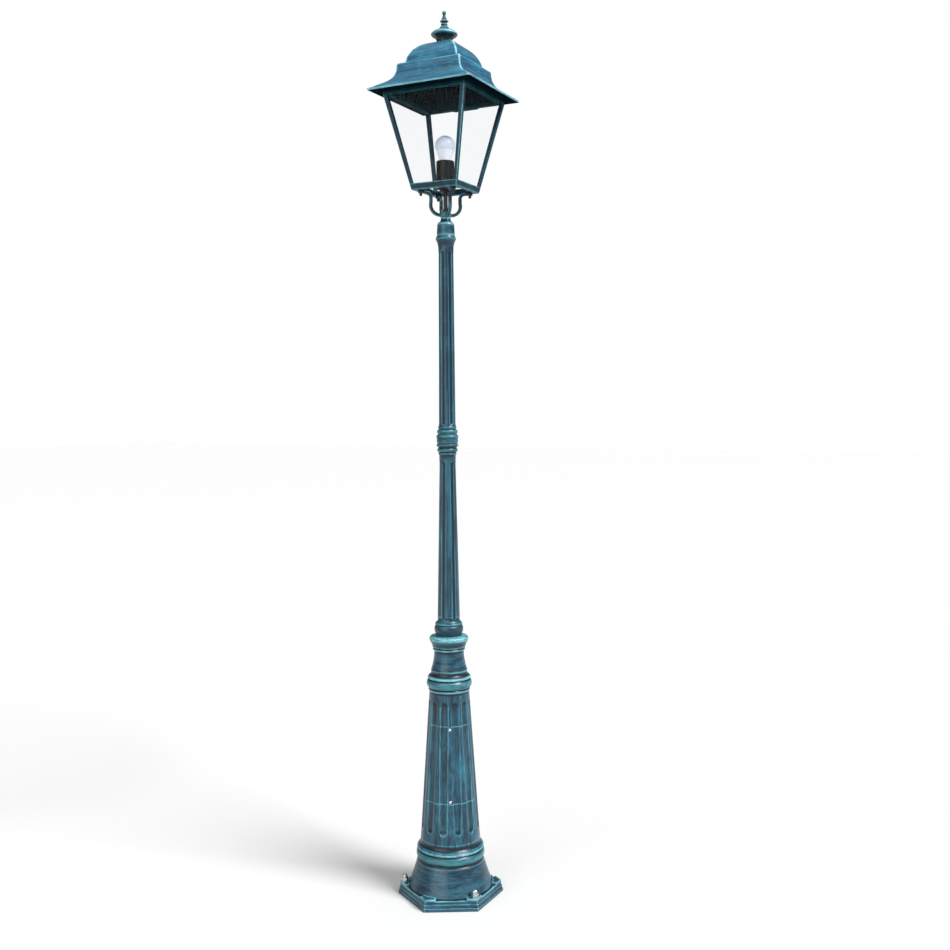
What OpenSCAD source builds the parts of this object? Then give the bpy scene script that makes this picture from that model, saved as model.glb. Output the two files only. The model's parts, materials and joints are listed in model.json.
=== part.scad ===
// Street lamp post: hexagonal cast base, two fluted poles and a square glazed lantern.
// Millimetres, +Z up, origin on the ground at the middle of the base.
// The lantern's four sides face -Y (front), +Y (back), -X (left) and +X (right).

/* [Base] */
// Radius of the hexagonal base plate, centre to corner
plate_r = 163.5; // [150:0.5:165]
// How far the base and the poles are turned against the lantern, degrees
base_turn = 28.5; // [0:0.5:60]
// Radius of the circle that the anchor holes stand on
anchor_circle_r = 143; // [138:0.5:144]
// Radius of each anchor hole
anchor_hole_r = 7; // [6.5:0.25:7.5]
// Radius of the fluted cone at its foot
cone_foot_r = 92; // [90:0.5:94]
// Radius of the fluted cone at its head
cone_head_r = 61.6; // [60:0.2:63]
// Number of flutes round the cone
cone_flutes = 12; // [8:2:14]
// Height of the access door's lower edge
door_low_z = 309; // [305:1:315]
// Height of the access door's upper edge
door_high_z = 543; // [540:1:546]

/* [Poles] */
// Radius of the lower shaft at its foot
lower_foot_r = 34.6; // [34:0.1:35]
// Radius of the lower shaft at its head
lower_head_r = 25; // [24.8:0.1:26]
// Radius of the upper shaft at its foot
upper_foot_r = 25.8; // [25.4:0.1:26]
// Radius of the upper shaft at its head
upper_head_r = 22.9; // [22.6:0.1:23.4]
// Number of flutes round each shaft
shaft_flutes = 6; // [4:1:6]

/* [Lantern] */
// Half the outer width of the lantern at the lower edge of its bottom frame
low_half = 75.4; // [74:0.2:77]
// Half the outer width of the lantern at its top frame
high_half = 134.3; // [133:0.1:136]
// Half the width of the roof over its eaves
eave_half = 168.6; // [167:0.1:171]
// Thickness of each glass pane
pane_t = 3; // [2.6:0.1:3.2]
// Radius of the lamp's globe
globe_r = 30; // [28:0.5:30]
// How far the roof is drawn open, degrees (0 is closed)
roof_open = 0; // [0:5:95]

/* [Hidden] */
$fn = 96;
gap = 0.2;

// heights of the base casting
plate_h = 31;
pad_top = 37;
cone_foot_z = 182;
cone_head_z = 640;
base_top = 812;
bell_wall = 8;
cone_wall = 7;
flute_r = 21;
flute_depth = 4;
flute_low_z = 212;
flute_high_z = 619;
anchor_angles = [0, 120, 240];

// access door
door_angle = base_turn - 90;
door_half_angle = 60;
door_t = 6;
door_gap = 0.8;
lug_half_w = 14;
door_screw_z = [315, 534];
screw_r = 2.4;

// terminal plate on the wall opposite the door
plate_x = -48;
plate_t = 2.5;
plate_screw_z = [375, 475];
block_low_z = 396;
block_high_z = 452;
block_depth = 20;

// pole joints
spigot_r = 33;
spigot_bore = 27;
spigot_low_z = 728;
lock_seat_z = 750;
joint_z = 1433;
joint_spigot_r = 21;
joint_spigot_z = 1366;
upper_bore = 17;
pole_top = 2029;
cap_spigot_r = 16.8;
cap_spigot_z = 1995;
set_screw_r = 3;

// neck, spider and stem
cap_top = 2083;
hub_top = 2100;
stem_r = 6.5;
stem_bore = 4.6;
stem_low_z = 2040;
arm_w = 10;
arm_seat = 2160.4;
corner_screw_r = 77;

// lantern frames and glass
low_z = 2160.6;
sill_z = 2179;
head_z = 2431;
roof_seat = 2441;
rail_w = 10;
head_w = 14;
gusset_h = 4.6;
pane_in = 4;
groove = 3.4;
groove_depth = 4;
slope = (high_half - low_half) / (head_z - low_z);
head_screw = high_half - 5.6;

// roof hinge at the back
pin_y = 141.5;
pin_z = 2436;
pin_r = 2.5;
knuckle_r = 5;
knuckle_half = 20;
lug_end = 40;
catch_z = 2436.3;

// roof
skirt_wall = 3.2;
skirt_top = 2525;
dome_half = 86.5;
dome_top = 2594;
throat_half = 76;
rod_r = 3;
strap_z = 2513;
strap_t = 3;
hat_seat = 2594;
finial_z = 2641;

// lamp and lampholder
holder_r = 27;
holder_low = 2168.6;
holder_top = 2250;
cap_r = 13.1;
lamp_split = 2283;
globe_z = 2296;

// cable
cable_r = 3.6;
cable_sides = 10;

paint = "#2f6273";
paint_dark = "#24404c";

// ---------- shared shapes ----------

// Points of a round moulding that stands h proud of radius r between two heights
// (h is negative for a hollow one)
function moulding(r, z0, z1, h, steps = 6) =
    let (half = (z1 - z0) / 2, big = (half * half + h * h) / (2 * h))
    let (reach = asin(half / abs(big)))
    [for (i = [0:steps]) let (a = -reach + 2 * reach * i / steps)
        [r + h - big + big * cos(a), z0 + half + abs(big) * sin(a)]];

// Points of an arc about a centre
function arc(cx, cz, r, a0, a1, steps = 6) =
    [for (i = [0:steps]) let (a = a0 + (a1 - a0) * i / steps) [cx + r * cos(a), cz + r * sin(a)]];

function cone_r(z) =
    cone_foot_r + (cone_head_r - cone_foot_r) * (z - cone_foot_z) / (cone_head_z - cone_foot_z);

module turned(points) {
    rotate_extrude() polygon(points);
}

// A round-ended flute cutter along a leaning line from radius r0 at z0 to radius r1 at z1
module flute(r0, z0, r1, z1, cutter_r, depth) {
    out = cutter_r - depth;
    lean = atan((r1 - r0) / (z1 - z0));
    long = norm([r1 - r0, z1 - z0]);
    translate([r0 + out, 0, z0]) rotate([0, lean, 0]) {
        cylinder(h = long, r = cutter_r);
        sphere(r = cutter_r);
        translate([0, 0, long]) sphere(r = cutter_r);
    }
}

module ring_of(count, start = 0) {
    for (i = [0:count - 1]) rotate([0, 0, start + 360 * i / count]) children();
}

module at_door() {
    rotate([0, 0, door_angle]) children();
}

module hex_nut(across, h, bore_r) {
    difference() {
        cylinder(h = h, r = across / sqrt(3), $fn = 6);
        translate([0, 0, -1]) cylinder(h = h + 2, r = bore_r);
    }
}

module slab(size_x, size_y, z0, z1) {
    translate([-size_x / 2, -size_y / 2, z0]) cube([size_x, size_y, z1 - z0]);
}

// ---------- base ----------

module cone_flute_cutters() {
    // the cutter's round end reaches past its centre by this much along the wall
    reach = sqrt(flute_r * flute_r - pow(flute_r - flute_depth, 2));
    z0 = flute_low_z + reach;
    z1 = flute_high_z - reach;
    ring_of(cone_flutes, base_turn + 180 / cone_flutes)
        flute(cone_r(z0), z0, cone_r(z1), z1, flute_r, flute_depth);
}

function base_outside() = concat(
    [[130, 30], [130, 34], [119, 63], [109.6, 95], [103.4, 114], [101, 119]],
    moulding(101.5, 122, 147, 4.6),
    moulding(101.3, 150, 158, 2.2, 4),
    [[100.4, 160]],
    [for (a = [0:22.5:90]) [cone_foot_r + 8.4 * (1 - sin(a)), cone_foot_z - 22 * cos(a)]],
    [[cone_r(cone_head_z), cone_head_z]],
    moulding(61.8, 642, 652, 2.2, 4),
    moulding(63.6, 653, 680, 6.2),
    moulding(63.8, 681, 689, 2.6, 4),
    [for (a = [0:22.5:90]) [56.6 + 7 * (1 - sin(a)), 706 - 16 * cos(a)]],
    [[53.8, 722.6], [49.8, 741], [46.4, 758], [45.7, 767]],
    moulding(47.2, 768, 776, 2.5, 4),
    [[48.6, 777.5], [52.6, 779], [56.5, 788], [58.3, 796]],
    moulding(58.2, 798, 810, 1.6, 4),
    [[54, base_top]]
);

module base_solid() {
    turned(concat([[0, 30]], base_outside(), [[0, base_top]]));
}

module base_hollow() {
    turned([
        [0, -1], [118, -1], [118, plate_h], [130 - bell_wall, plate_h + 3], [111, 63],
        [101.6, 95], [93.4, 119], [cone_foot_r - cone_wall, cone_foot_z],
        [cone_r(cone_head_z) - cone_wall, cone_head_z], [53.5, 690], [46.5, 715],
        [41, 738], [41, lock_seat_z], [spigot_r + gap, lock_seat_z],
        [spigot_r + gap, base_top + 1], [0, base_top + 1]
    ]);
}

module plate_steps() {
    rotate([0, 0, base_turn]) {
        cylinder(h = 11, r = plate_r, $fn = 6);
        cylinder(h = 22, r = plate_r - 3, $fn = 6);
        cylinder(h = plate_h, r = plate_r - 6, $fn = 6);
        // raised corner pads with hollowed flanks that run in to the bell
        difference() {
            cylinder(h = pad_top, r = plate_r - 6, $fn = 6);
            ring_of(6, 30) translate([plate_r * cos(30), 0, plate_h])
                cylinder(h = 20, r = 48);
        }
    }
}

// The space that the door fills: a wedge of the wall, less the pointed tongue above it
module door_space(grow) {
    side = 2 * plate_r;
    edge = door_half_angle;
    difference() {
        translate([0, 0, door_low_z - grow]) linear_extrude(door_high_z - door_low_z + 2 * grow)
            polygon([
                [-grow / sin(edge), 0],
                [side * cos(edge) - grow / sin(edge), -side * sin(edge)],
                [side, -side * sin(edge)],
                [side, side * sin(edge)],
                [side * cos(edge) - grow / sin(edge), side * sin(edge)]
            ]);
        translate([0, 0, door_high_z + 4.5 + 1.4 * grow]) rotate([45, 0, 0])
            translate([0, -6, -6]) cube([side, 12, 12]);
    }
}

module door_lugs() {
    // a block behind the door's lower edge and one behind its upper edge
    translate([50, -lug_half_w, 297]) cube([40, 2 * lug_half_w, 30]);
    translate([46, -lug_half_w, 523]) cube([30, 2 * lug_half_w, 31]);
}

module door_screw_holes(r) {
    for (z = door_screw_z) translate([40, 0, z]) rotate([0, 90, 0]) cylinder(h = 60, r = r);
}

module behind_door() {
    // everything inside the door's inner face
    turned([
        [0, 200], [cone_r(200) - door_t - gap, 200],
        [cone_r(600) - door_t - gap, 600], [0, 600]
    ]);
}

module back_bosses() {
    for (z = plate_screw_z)
        translate([plate_x, 0, z]) rotate([0, -90, 0]) cylinder(h = cone_r(z) + plate_x - 2, r = 8);
}

module base_post() color(paint) {
    difference() {
        union() {
            difference() {
                union() {
                    plate_steps();
                    base_solid();
                }
                base_hollow();
                cone_flute_cutters();
                at_door() door_space(0);
            }
            at_door() intersection() {
                door_lugs();
                behind_door();
            }
            at_door() back_bosses();
        }
        at_door() door_screw_holes(screw_r + 0.1);
        at_door() for (z = plate_screw_z)
            translate([plate_x - 12, 0, z]) rotate([0, 90, 0]) cylinder(h = 20, r = screw_r + 0.1);
        at_door() translate([62, 7.5, 318]) cylinder(h = 20, r = 3.1);
        for (a = anchor_angles) rotate([0, 0, base_turn + 60 + a])
            translate([anchor_circle_r, 0, -1]) cylinder(h = 60, r = anchor_hole_r);
    }
}

module access_door() color(paint) {
    difference() {
        at_door() intersection() {
            door_space(-door_gap);
            difference() {
                base_solid();
                turned([
                    [0, 200], [cone_r(200) - door_t, 200],
                    [cone_r(600) - door_t, 600], [0, 600]
                ]);
            }
        }
        cone_flute_cutters();
        at_door() door_screw_holes(screw_r + 0.4);
    }
}

module door_screws() color("gainsboro") at_door() for (z = door_screw_z) {
    translate([cone_r(z) - 22, 0, z]) rotate([0, 90, 0]) cylinder(h = 22.4, r = screw_r);
    translate([cone_r(z) + 0.4, 0, z]) rotate([0, 90, 0]) difference() {
        intersection() {
            cylinder(h = 2.8, r = 4.4);
            translate([0, 0, -3.4]) sphere(r = 6.2);
        }
        // hexagon socket
        translate([0, 0, 1.2]) cylinder(h = 5, r = 1.9, $fn = 6);
    }
}

module at_anchors() {
    for (a = anchor_angles) rotate([0, 0, base_turn + 60 + a])
        translate([anchor_circle_r, 0, pad_top]) children();
}

module anchor_washers() color("silver") at_anchors() difference() {
    cylinder(h = 2.5, r = 11.8);
    translate([0, 0, -1]) cylinder(h = 5, r = 6.6);
}

module anchor_cap_nuts() color("silver") at_anchors() translate([0, 0, 2.5]) difference() {
    union() {
        cylinder(h = 11, r = 19 / sqrt(3), $fn = 6);
        cylinder(h = 14, r = 8.4);
        translate([0, 0, 14]) sphere(r = 8.4);
    }
    translate([0, 0, -1]) cylinder(h = 17, r = 5.4);
}

// ---------- wiring in the base ----------

module terminal_plate() color("lightgray") at_door() difference() {
    translate([plate_x, -16, 360]) cube([plate_t, 32, 130]);
    for (z = plate_screw_z)
        translate([plate_x - 5, 0, z]) rotate([0, 90, 0]) cylinder(h = 20, r = screw_r + 0.4);
}

module terminal_plate_screws() color("silver") at_door() for (z = plate_screw_z) {
    translate([plate_x - 10, 0, z]) rotate([0, 90, 0]) cylinder(h = 10 + plate_t, r = screw_r);
    translate([plate_x + plate_t, 0, z]) rotate([0, 90, 0]) difference() {
        cylinder(h = 3, r = 4.5);
        translate([-0.6, -5, 1.8]) cube([1.2, 10, 3]);
    }
}

module terminal_block() color("ivory") at_door() difference() {
    translate([plate_x + plate_t, -15, block_low_z])
        cube([block_depth, 30, block_high_z - block_low_z]);
    // a screw well and two wire holes for each of the three ways
    for (y = [-10, 0, 10]) {
        for (z = [block_low_z + 14, block_high_z - 14])
            translate([plate_x + plate_t + 8, y, z]) rotate([0, 90, 0]) cylinder(h = 20, r = 3);
        if (y != 0) translate([plate_x + plate_t + 8, y, block_high_z - 12])
            cylinder(h = 20, r = 2.2);
        translate([plate_x + plate_t + 8, y, block_low_z - 8]) cylinder(h = 20, r = 2.2);
    }
}

module terminal_clamp_screws() color("goldenrod") at_door() for (y = [-10, 0, 10])
    for (z = [block_low_z + 14, block_high_z - 14])
        translate([plate_x + plate_t + 8.2, y, z]) rotate([0, 90, 0]) difference() {
            cylinder(h = 8, r = 2.8);
            translate([-0.4, -3, 6.8]) cube([0.8, 6, 3]);
        }

module earth_screw() color("goldenrod") at_door() translate([62, 7.5, 327]) {
    translate([0, 0, -8]) cylinder(h = 9.6, r = 3);
    cylinder(h = 1.6, r = 5.8);
    translate([0, 0, 1.6]) cylinder(h = 4, r = 10 / sqrt(3), $fn = 6);
}

// ---------- poles ----------

module shaft_flute_cutters(r0, z0, r1, z1) {
    cutter_r = 10;
    depth = 2;
    reach = sqrt(cutter_r * cutter_r - pow(cutter_r - depth, 2));
    ring_of(shaft_flutes, base_turn)
        flute(r0, z0 + reach, r1, z1 - reach, cutter_r, depth);
}

module lower_pole() color(paint) difference() {
    turned(concat(
        [[spigot_bore, spigot_low_z], [spigot_r, spigot_low_z], [spigot_r, base_top], [40, base_top]],
        [[41.2, 819]],
        moulding(41.4, 822, 846, 3.1),
        moulding(40, 847, 854, 1.8, 4),
        [for (a = [0:30:90]) [lower_foot_r + 4 * (1 - sin(a)), 872 - 17 * cos(a)]],
        [[lower_head_r, 1353], [lower_head_r + 0.4, 1369]],
        moulding(26, 1370, 1377, 2, 4),
        moulding(28.4, 1379, 1389, 3, 4),
        moulding(28.8, 1394, 1404, 4.6, 4),
        [[32.2, 1405.5], [32.2, 1420], [34, 1425], [28.6, joint_z]],
        [[joint_spigot_r + gap, joint_z], [joint_spigot_r + gap, joint_spigot_z - 3]],
        [[lower_head_r - 4.6, 1350], [lower_foot_r - 5, 872], [spigot_bore, 860]]
    ));
    shaft_flute_cutters(lower_foot_r, 867, lower_head_r, 1349);
    // three threaded holes in the hollow between the two collar rings
    ring_of(3, base_turn + 30) translate([15, 0, 1391.5]) rotate([0, 90, 0])
        cylinder(h = 30, r = set_screw_r + 0.1);
}

module pole_lock_nut() color("silver") difference() {
    translate([0, 0, lock_seat_z - 14]) cylinder(h = 14 - gap, r = 39.5);
    translate([0, 0, lock_seat_z - 20]) cylinder(h = 30, r = spigot_r + 0.1);
    // slots for a hook spanner
    ring_of(4) translate([38, -3, lock_seat_z - 20]) cube([5, 6, 30]);
}

module upper_pole() color(paint) difference() {
    turned(concat(
        [[upper_bore, joint_spigot_z], [joint_spigot_r, joint_spigot_z]],
        [[joint_spigot_r, joint_z], [28.6, joint_z]],
        moulding(28.6, 1434, 1446, 2.9),
        moulding(26.4, 1448, 1457, 1.4, 4),
        [[upper_foot_r, 1460], [upper_head_r, 1988], [24.6, 2004]],
        moulding(25, 2006, 2014, 2.2, 4),
        moulding(27.4, 2015.5, 2027, 2.8),
        [[27, pole_top], [upper_bore, pole_top]]
    ));
    shaft_flute_cutters(upper_foot_r, 1461, upper_head_r, 1983);
    ring_of(3, base_turn + 30) translate([19, 0, 1391.5]) rotate([0, 90, 0])
        cylinder(h = 10, r = set_screw_r + 0.1);
    ring_of(3, base_turn + 30) translate([15, 0, 2014.7]) rotate([0, 90, 0])
        cylinder(h = 20, r = set_screw_r + 0.1);
}

module set_screw(r_in, r_out) {
    translate([r_in, 0, 0]) rotate([0, 90, 0]) difference() {
        cylinder(h = r_out - r_in, r = set_screw_r);
        translate([0, 0, r_out - r_in - 3]) cylinder(h = 5, r = 1.7, $fn = 6);
    }
}

module joint_set_screws() color("dimgray") ring_of(3, base_turn + 30)
    translate([0, 0, 1391.5]) set_screw(19.4, 27.6);

module cap_set_screws() color("dimgray") ring_of(3, base_turn + 30)
    translate([0, 0, 2014.7]) set_screw(15, 24.6);

// ---------- neck and lantern support ----------

module pole_cap() color(paint) difference() {
    turned(concat(
        [[12.5, cap_spigot_z], [cap_spigot_r, cap_spigot_z], [cap_spigot_r, pole_top]],
        [[27.1, pole_top], [26.8, 2041], [25.6, 2059]],
        arc(19, 2064, 6, 15, 80, 4),
        [[15.6, 2077], [15, 2080], [15, cap_top], [stem_r + gap, cap_top]],
        [[stem_r + gap, 2062], [12.5, 2062]]
    ));
    ring_of(3, base_turn + 30) translate([14.9, 0, 2014.7]) rotate([0, 90, 0])
        cylinder(h = 5, r = set_screw_r + 0.1);
}

// Outline of one spider arm: a bowl below, a flare above and a flat seat under the frame
function arm_outline() = concat(
    [[10, cap_top + gap]],
    [[22, cap_top + gap + 2.5]],
    arc(8, 2127, 42, -62, 0, 8),
    arc(66, 2136, 16, 180, 112, 6),
    [[90, 2155], [90, arm_seat], [58, arm_seat]],
    arc(66, 2136, 25, 112, 180, 6),
    arc(8, 2127, 33, 0, -68, 8),
    [[10, 2096]]
);

module lantern_spider() color(paint_dark) difference() {
    union() {
        turned([
            [0, cap_top + gap], [15, cap_top + gap], [18, 2087], [18, 2093],
            [14, hub_top], [0, hub_top]
        ]);
        ring_of(4, 45) translate([0, arm_w / 2, 0]) rotate([90, 0, 0])
            linear_extrude(arm_w) polygon(arm_outline());
        // round pads under the corners of the bottom frame
        ring_of(4, 45) translate([corner_screw_r, 0, 2152]) cylinder(h = arm_seat - 2152, r = 8);
    }
    translate([0, 0, cap_top - 1]) cylinder(h = 40, r = stem_r + gap);
    ring_of(4, 45) translate([corner_screw_r, 0, 2130]) cylinder(h = 50, r = 2.8);
}

module stem_tube() color("dimgray") difference() {
    translate([0, 0, stem_low_z]) cylinder(h = 2175 - stem_low_z, r = stem_r);
    translate([0, 0, stem_low_z - 1]) cylinder(h = 150, r = stem_bore);
}

module stem_nuts() color("dimgray") for (z = [2052, hub_top + gap, 2156.8])
    translate([0, 0, z]) hex_nut(19, 8, stem_r + 0.1);

// ---------- lantern body ----------

function half_at(z) = low_half + slope * (z - low_z);
function post_w(z) = 10.5 + 2.5 * (z - sill_z) / (head_z - sill_z);

// A leaning slab on the +X side between two distances in from the outer face
module side_slab(in0, in1, z0, z1, long) {
    translate([0, long / 2, 0]) rotate([90, 0, 0]) linear_extrude(long)
        polygon([
            [half_at(z0) - in1, z0], [half_at(z0) - in0, z0],
            [half_at(z1) - in0, z1], [half_at(z1) - in1, z1]
        ]);
}

// A square ring between two half widths
module square_ring(out_half, in_half, z0, z1) {
    difference() {
        slab(2 * out_half, 2 * out_half, z0, z1);
        slab(2 * in_half, 2 * in_half, z0 - 1, z1 + 1);
    }
}

module bottom_frame() color(paint) difference() {
    union() {
        difference() {
            hipped([[low_half, low_z], [half_at(sill_z), sill_z]]);
            slab(2 * (low_half - rail_w), 2 * (low_half - rail_w), low_z - 1, sill_z + 1);
        }
        // corner gussets that carry the screws
        intersection() {
            slab(2 * low_half - 4, 2 * low_half - 4, low_z, low_z + gusset_h);
            difference() {
                slab(2 * low_half, 2 * low_half, low_z, low_z + gusset_h);
                rotate([0, 0, 45]) slab(2 * 66, 2 * 66, low_z - 1, low_z + gusset_h + 1);
            }
        }
    }
    ring_of(4) side_slab(pane_in, pane_in + groove, sill_z - groove_depth, sill_z + 1,
        2 * half_at(sill_z) - 12);
    ring_of(4, 45) translate([corner_screw_r, 0, low_z - 1]) cylinder(h = 10, r = 2.8);
}

module frame_screws() color("dimgray") ring_of(4, 45) translate([corner_screw_r, 0, 0]) {
    translate([0, 0, 2145]) difference() {
        cylinder(h = 7 - gap, r = 4.2);
        translate([0, 0, -1]) cylinder(h = 3.5, r = 2.3, $fn = 6);
    }
    translate([0, 0, 2151]) cylinder(h = 22, r = 2.5);
}

module frame_nuts() color("dimgray") for (i = [0:3]) {
    // the lampholder bar lies under two of the four nuts
    on_bar = i == 1 || i == 3;
    rotate([0, 0, 45 + 90 * i]) translate([corner_screw_r, 0, low_z + gusset_h + (on_bar ? 3 : 0)])
        hex_nut(8, 4, 2.6);
}

module lampholder_bar() color("dimgray") difference() {
    // it runs from corner to corner, and its ends are cut to fit inside the rails
    inside = 2 * (low_half - rail_w - gap);
    intersection() {
        rotate([0, 0, -45]) slab(200, 20, low_z + gusset_h, low_z + gusset_h + 3);
        slab(inside, inside, low_z, sill_z);
    }
    translate([0, 0, low_z]) cylinder(h = 20, r = stem_r + gap);
    ring_of(2, -45) translate([corner_screw_r, 0, low_z]) cylinder(h = 20, r = 2.8);
}

module corner_post() color(paint) difference() {
    intersection() {
        rotate([90, 0, 0]) translate([0, 0, -200]) linear_extrude(400)
            polygon([
                [half_at(sill_z) - post_w(sill_z), sill_z], [half_at(sill_z), sill_z],
                [half_at(head_z), head_z], [half_at(head_z) - post_w(head_z), head_z]
            ]);
        rotate([0, 0, 90]) rotate([90, 0, 0]) translate([0, 0, -200]) linear_extrude(400)
            polygon([
                [half_at(sill_z) - post_w(sill_z), sill_z], [half_at(sill_z), sill_z],
                [half_at(head_z), head_z], [half_at(head_z) - post_w(head_z), head_z]
            ]);
    }
    // a groove for each of the two panes that end in this post
    intersection() {
        side_slab(pane_in, pane_in + groove, sill_z - 1, head_z + 1, 400);
        rotate([0, 0, 90]) pane_reach(groove_depth);
    }
    intersection() {
        rotate([0, 0, 90]) side_slab(pane_in, pane_in + groove, sill_z - 1, head_z + 1, 400);
        pane_reach(groove_depth);
    }
    translate([head_screw, head_screw, 2418]) cylinder(h = 20, r = 1.7);
}

// Everything nearer the middle than a line that lies a given depth inside the posts
module pane_reach(depth) {
    rotate([90, 0, 0]) translate([0, 0, -200]) linear_extrude(400)
        polygon([
            [-half_at(2160) + post_w(2160) - depth, 2160],
            [half_at(2160) - post_w(2160) + depth, 2160],
            [half_at(2440) - post_w(2440) + depth, 2440],
            [-half_at(2440) + post_w(2440) - depth, 2440]
        ]);
}

module glass_pane() color([0.85, 0.92, 0.93, 0.35]) intersection() {
    side_slab(pane_in + gap, pane_in + gap + pane_t, sill_z - groove_depth + 0.5, head_z + 3, 400);
    rotate([0, 0, 90]) pane_reach(groove_depth - 0.9);
}

module corner_post_front_left() rotate([0, 0, 180]) corner_post();
module corner_post_front_right() rotate([0, 0, -90]) corner_post();
module corner_post_back_left() rotate([0, 0, 90]) corner_post();
module corner_post_back_right() corner_post();

module glass_front() rotate([0, 0, -90]) glass_pane();
module glass_back() rotate([0, 0, 90]) glass_pane();
module glass_left() rotate([0, 0, 180]) glass_pane();
module glass_right() glass_pane();

module top_frame() color(paint) difference() {
    union() {
        square_ring(high_half, high_half - head_w, head_z, roof_seat);
        translate([-knuckle_half, high_half - 1, pin_z - knuckle_r])
            cube([2 * knuckle_half, pin_y - high_half + 1, 2 * knuckle_r]);
        translate([-knuckle_half, pin_y, pin_z]) rotate([0, 90, 0])
            cylinder(h = 2 * knuckle_half, r = knuckle_r);
    }
    ring_of(4) side_slab(pane_in - 0.2, pane_in + groove + 0.2, head_z - 1, head_z + 3.6,
        2 * (high_half - post_w(head_z) + groove_depth + 1));
    ring_of(4, 45) translate([head_screw * sqrt(2), 0, head_z - 1]) cylinder(h = 30, r = 1.8);
    ring_of(4, 45) translate([head_screw * sqrt(2), 0, roof_seat - 2.6]) cylinder(h = 5, r = 3.4);
    translate([-60, pin_y, pin_z]) rotate([0, 90, 0]) cylinder(h = 120, r = pin_r + 0.02);
    translate([0, -high_half + 5, catch_z]) rotate([-90, 0, 0]) cylinder(h = 20, r = 1.6);
}

module top_frame_screws() color("silver") ring_of(4, 45) translate([head_screw * sqrt(2), 0, 0]) {
    translate([0, 0, 2419]) cylinder(h = roof_seat - 2.5 - 2419, r = 1.6);
    translate([0, 0, roof_seat - 2.5]) difference() {
        cylinder(h = 2.3, r = 3.2);
        translate([-0.4, -4, 1.4]) cube([0.8, 8, 2]);
    }
}

// ---------- roof hinge and catch ----------

module hinge_pin() color("silver") translate([-lug_end - 1.5, pin_y, pin_z]) rotate([0, 90, 0]) {
    cylinder(h = 2 * lug_end + 3, r = pin_r);
    translate([0, 0, -1.5]) cylinder(h = 1.5, r = 4);
}

module roof_catch() color("silver") {
    inside = -(high_half - head_w);
    difference() {
        translate([-8, 0, 0]) rotate([90, 0, 90]) linear_extrude(16)
            polygon([
                [inside, 2432], [inside + 1.2, 2432], [inside + 1.2, 2442], [inside - 0.4, 2446.5],
                [inside + 1.2, 2451], [inside + 0.2, 2451.6], [inside - 1.8, 2446.5],
                [inside, 2441.6]
            ]);
        translate([0, inside - 5, catch_z]) rotate([-90, 0, 0]) cylinder(h = 20, r = 1.7);
    }
}

module roof_catch_screw() color("silver") translate([0, -(high_half - head_w) - 8, catch_z])
    rotate([-90, 0, 0]) {
        cylinder(h = 9.2, r = 1.5);
        translate([0, 0, 9.2]) cylinder(h = 1.8, r = 3);
    }

// ---------- lampholder and lamp ----------

module lampholder_housing() color("#1b1b1c") turned([
    [stem_r + gap, holder_low], [holder_r - 1, holder_low], [holder_r, holder_low + 1],
    [holder_r, holder_top - 2], [holder_r - 1, holder_top], [holder_r - 2.4, holder_top],
    [holder_r - 3, holder_top - 2], [holder_r - 3, holder_low + 6], [stem_r + gap, holder_low + 6]
]);

module lampholder_insert() color("white") difference() {
    translate([0, 0, 2182]) cylinder(h = 26, r = 23.6);
    // well for the lamp's end contact
    translate([0, 0, 2204]) cylinder(h = 10, r = 11);
    translate([0, 0, 2190]) cylinder(h = 20, r = 3);
}

module lampholder_shell() color("goldenrod") turned([
    [cap_r + 0.3, 2208.2], [cap_r + 1.3, 2208.2], [cap_r + 1.3, 2232], [cap_r + 2.4, 2233],
    [cap_r + 2.4, 2234], [cap_r + 0.3, 2234]
]);

module centre_contact() color("goldenrod") {
    translate([0, 0, 2194]) cylinder(h = 12.6, r = 2.8);
    translate([-8, -2.5, 2204.2]) cube([16, 5, 1.2]);
}

module lamp_cap() color("silver") turned([
    [0, 2207], [4.5, 2207], [4.5, 2208.6], [cap_r - 2, 2211], [cap_r, 2213], [cap_r, 2234],
    [0, 2234]
]);

module lamp_collar() color("white") {
    split_r = sqrt(globe_r * globe_r - pow(globe_z - lamp_split, 2));
    difference() {
        turned(concat(
            [[0, 2234.2], [14, 2234.2], [16.4, 2240], [17.2, 2250]],
            [[18.6, 2258], [21, 2267], [24.2, 2276]],
            [[split_r, lamp_split], [0, lamp_split]]
        ));
        translate([0, 0, 2262]) cylinder(h = 40, r = 15);
    }
}

module lamp_globe() color([0.86, 0.87, 0.93]) {
    low = asin((globe_z - lamp_split) / globe_r);
    turned(concat(
        arc(0, globe_z, globe_r, -low + 0.6, 90, 20),
        arc(0, globe_z, globe_r - 1.6, 90, -low + 0.6, 20)
    ));
}

// ---------- cable ----------

// The cable leaves the terminal block upwards, eases over to the axis and runs up the poles
cable_start = plate_x + plate_t + 8;
cable_ease = [for (t = [0:0.1:1]) [cable_start * (1 + cos(180 * t)) / 2, block_high_z + 150 * t]];
cable_rise = [for (z = [660:40:2140]) [0, z]];
cable_line = concat(cable_ease, cable_rise, [[0, 2181.8]]);

function cable_dir(i) =
    let (a = cable_line[max(i - 1, 0)], b = cable_line[min(i + 1, len(cable_line) - 1)])
    (b - a) / norm(b - a);

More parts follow.
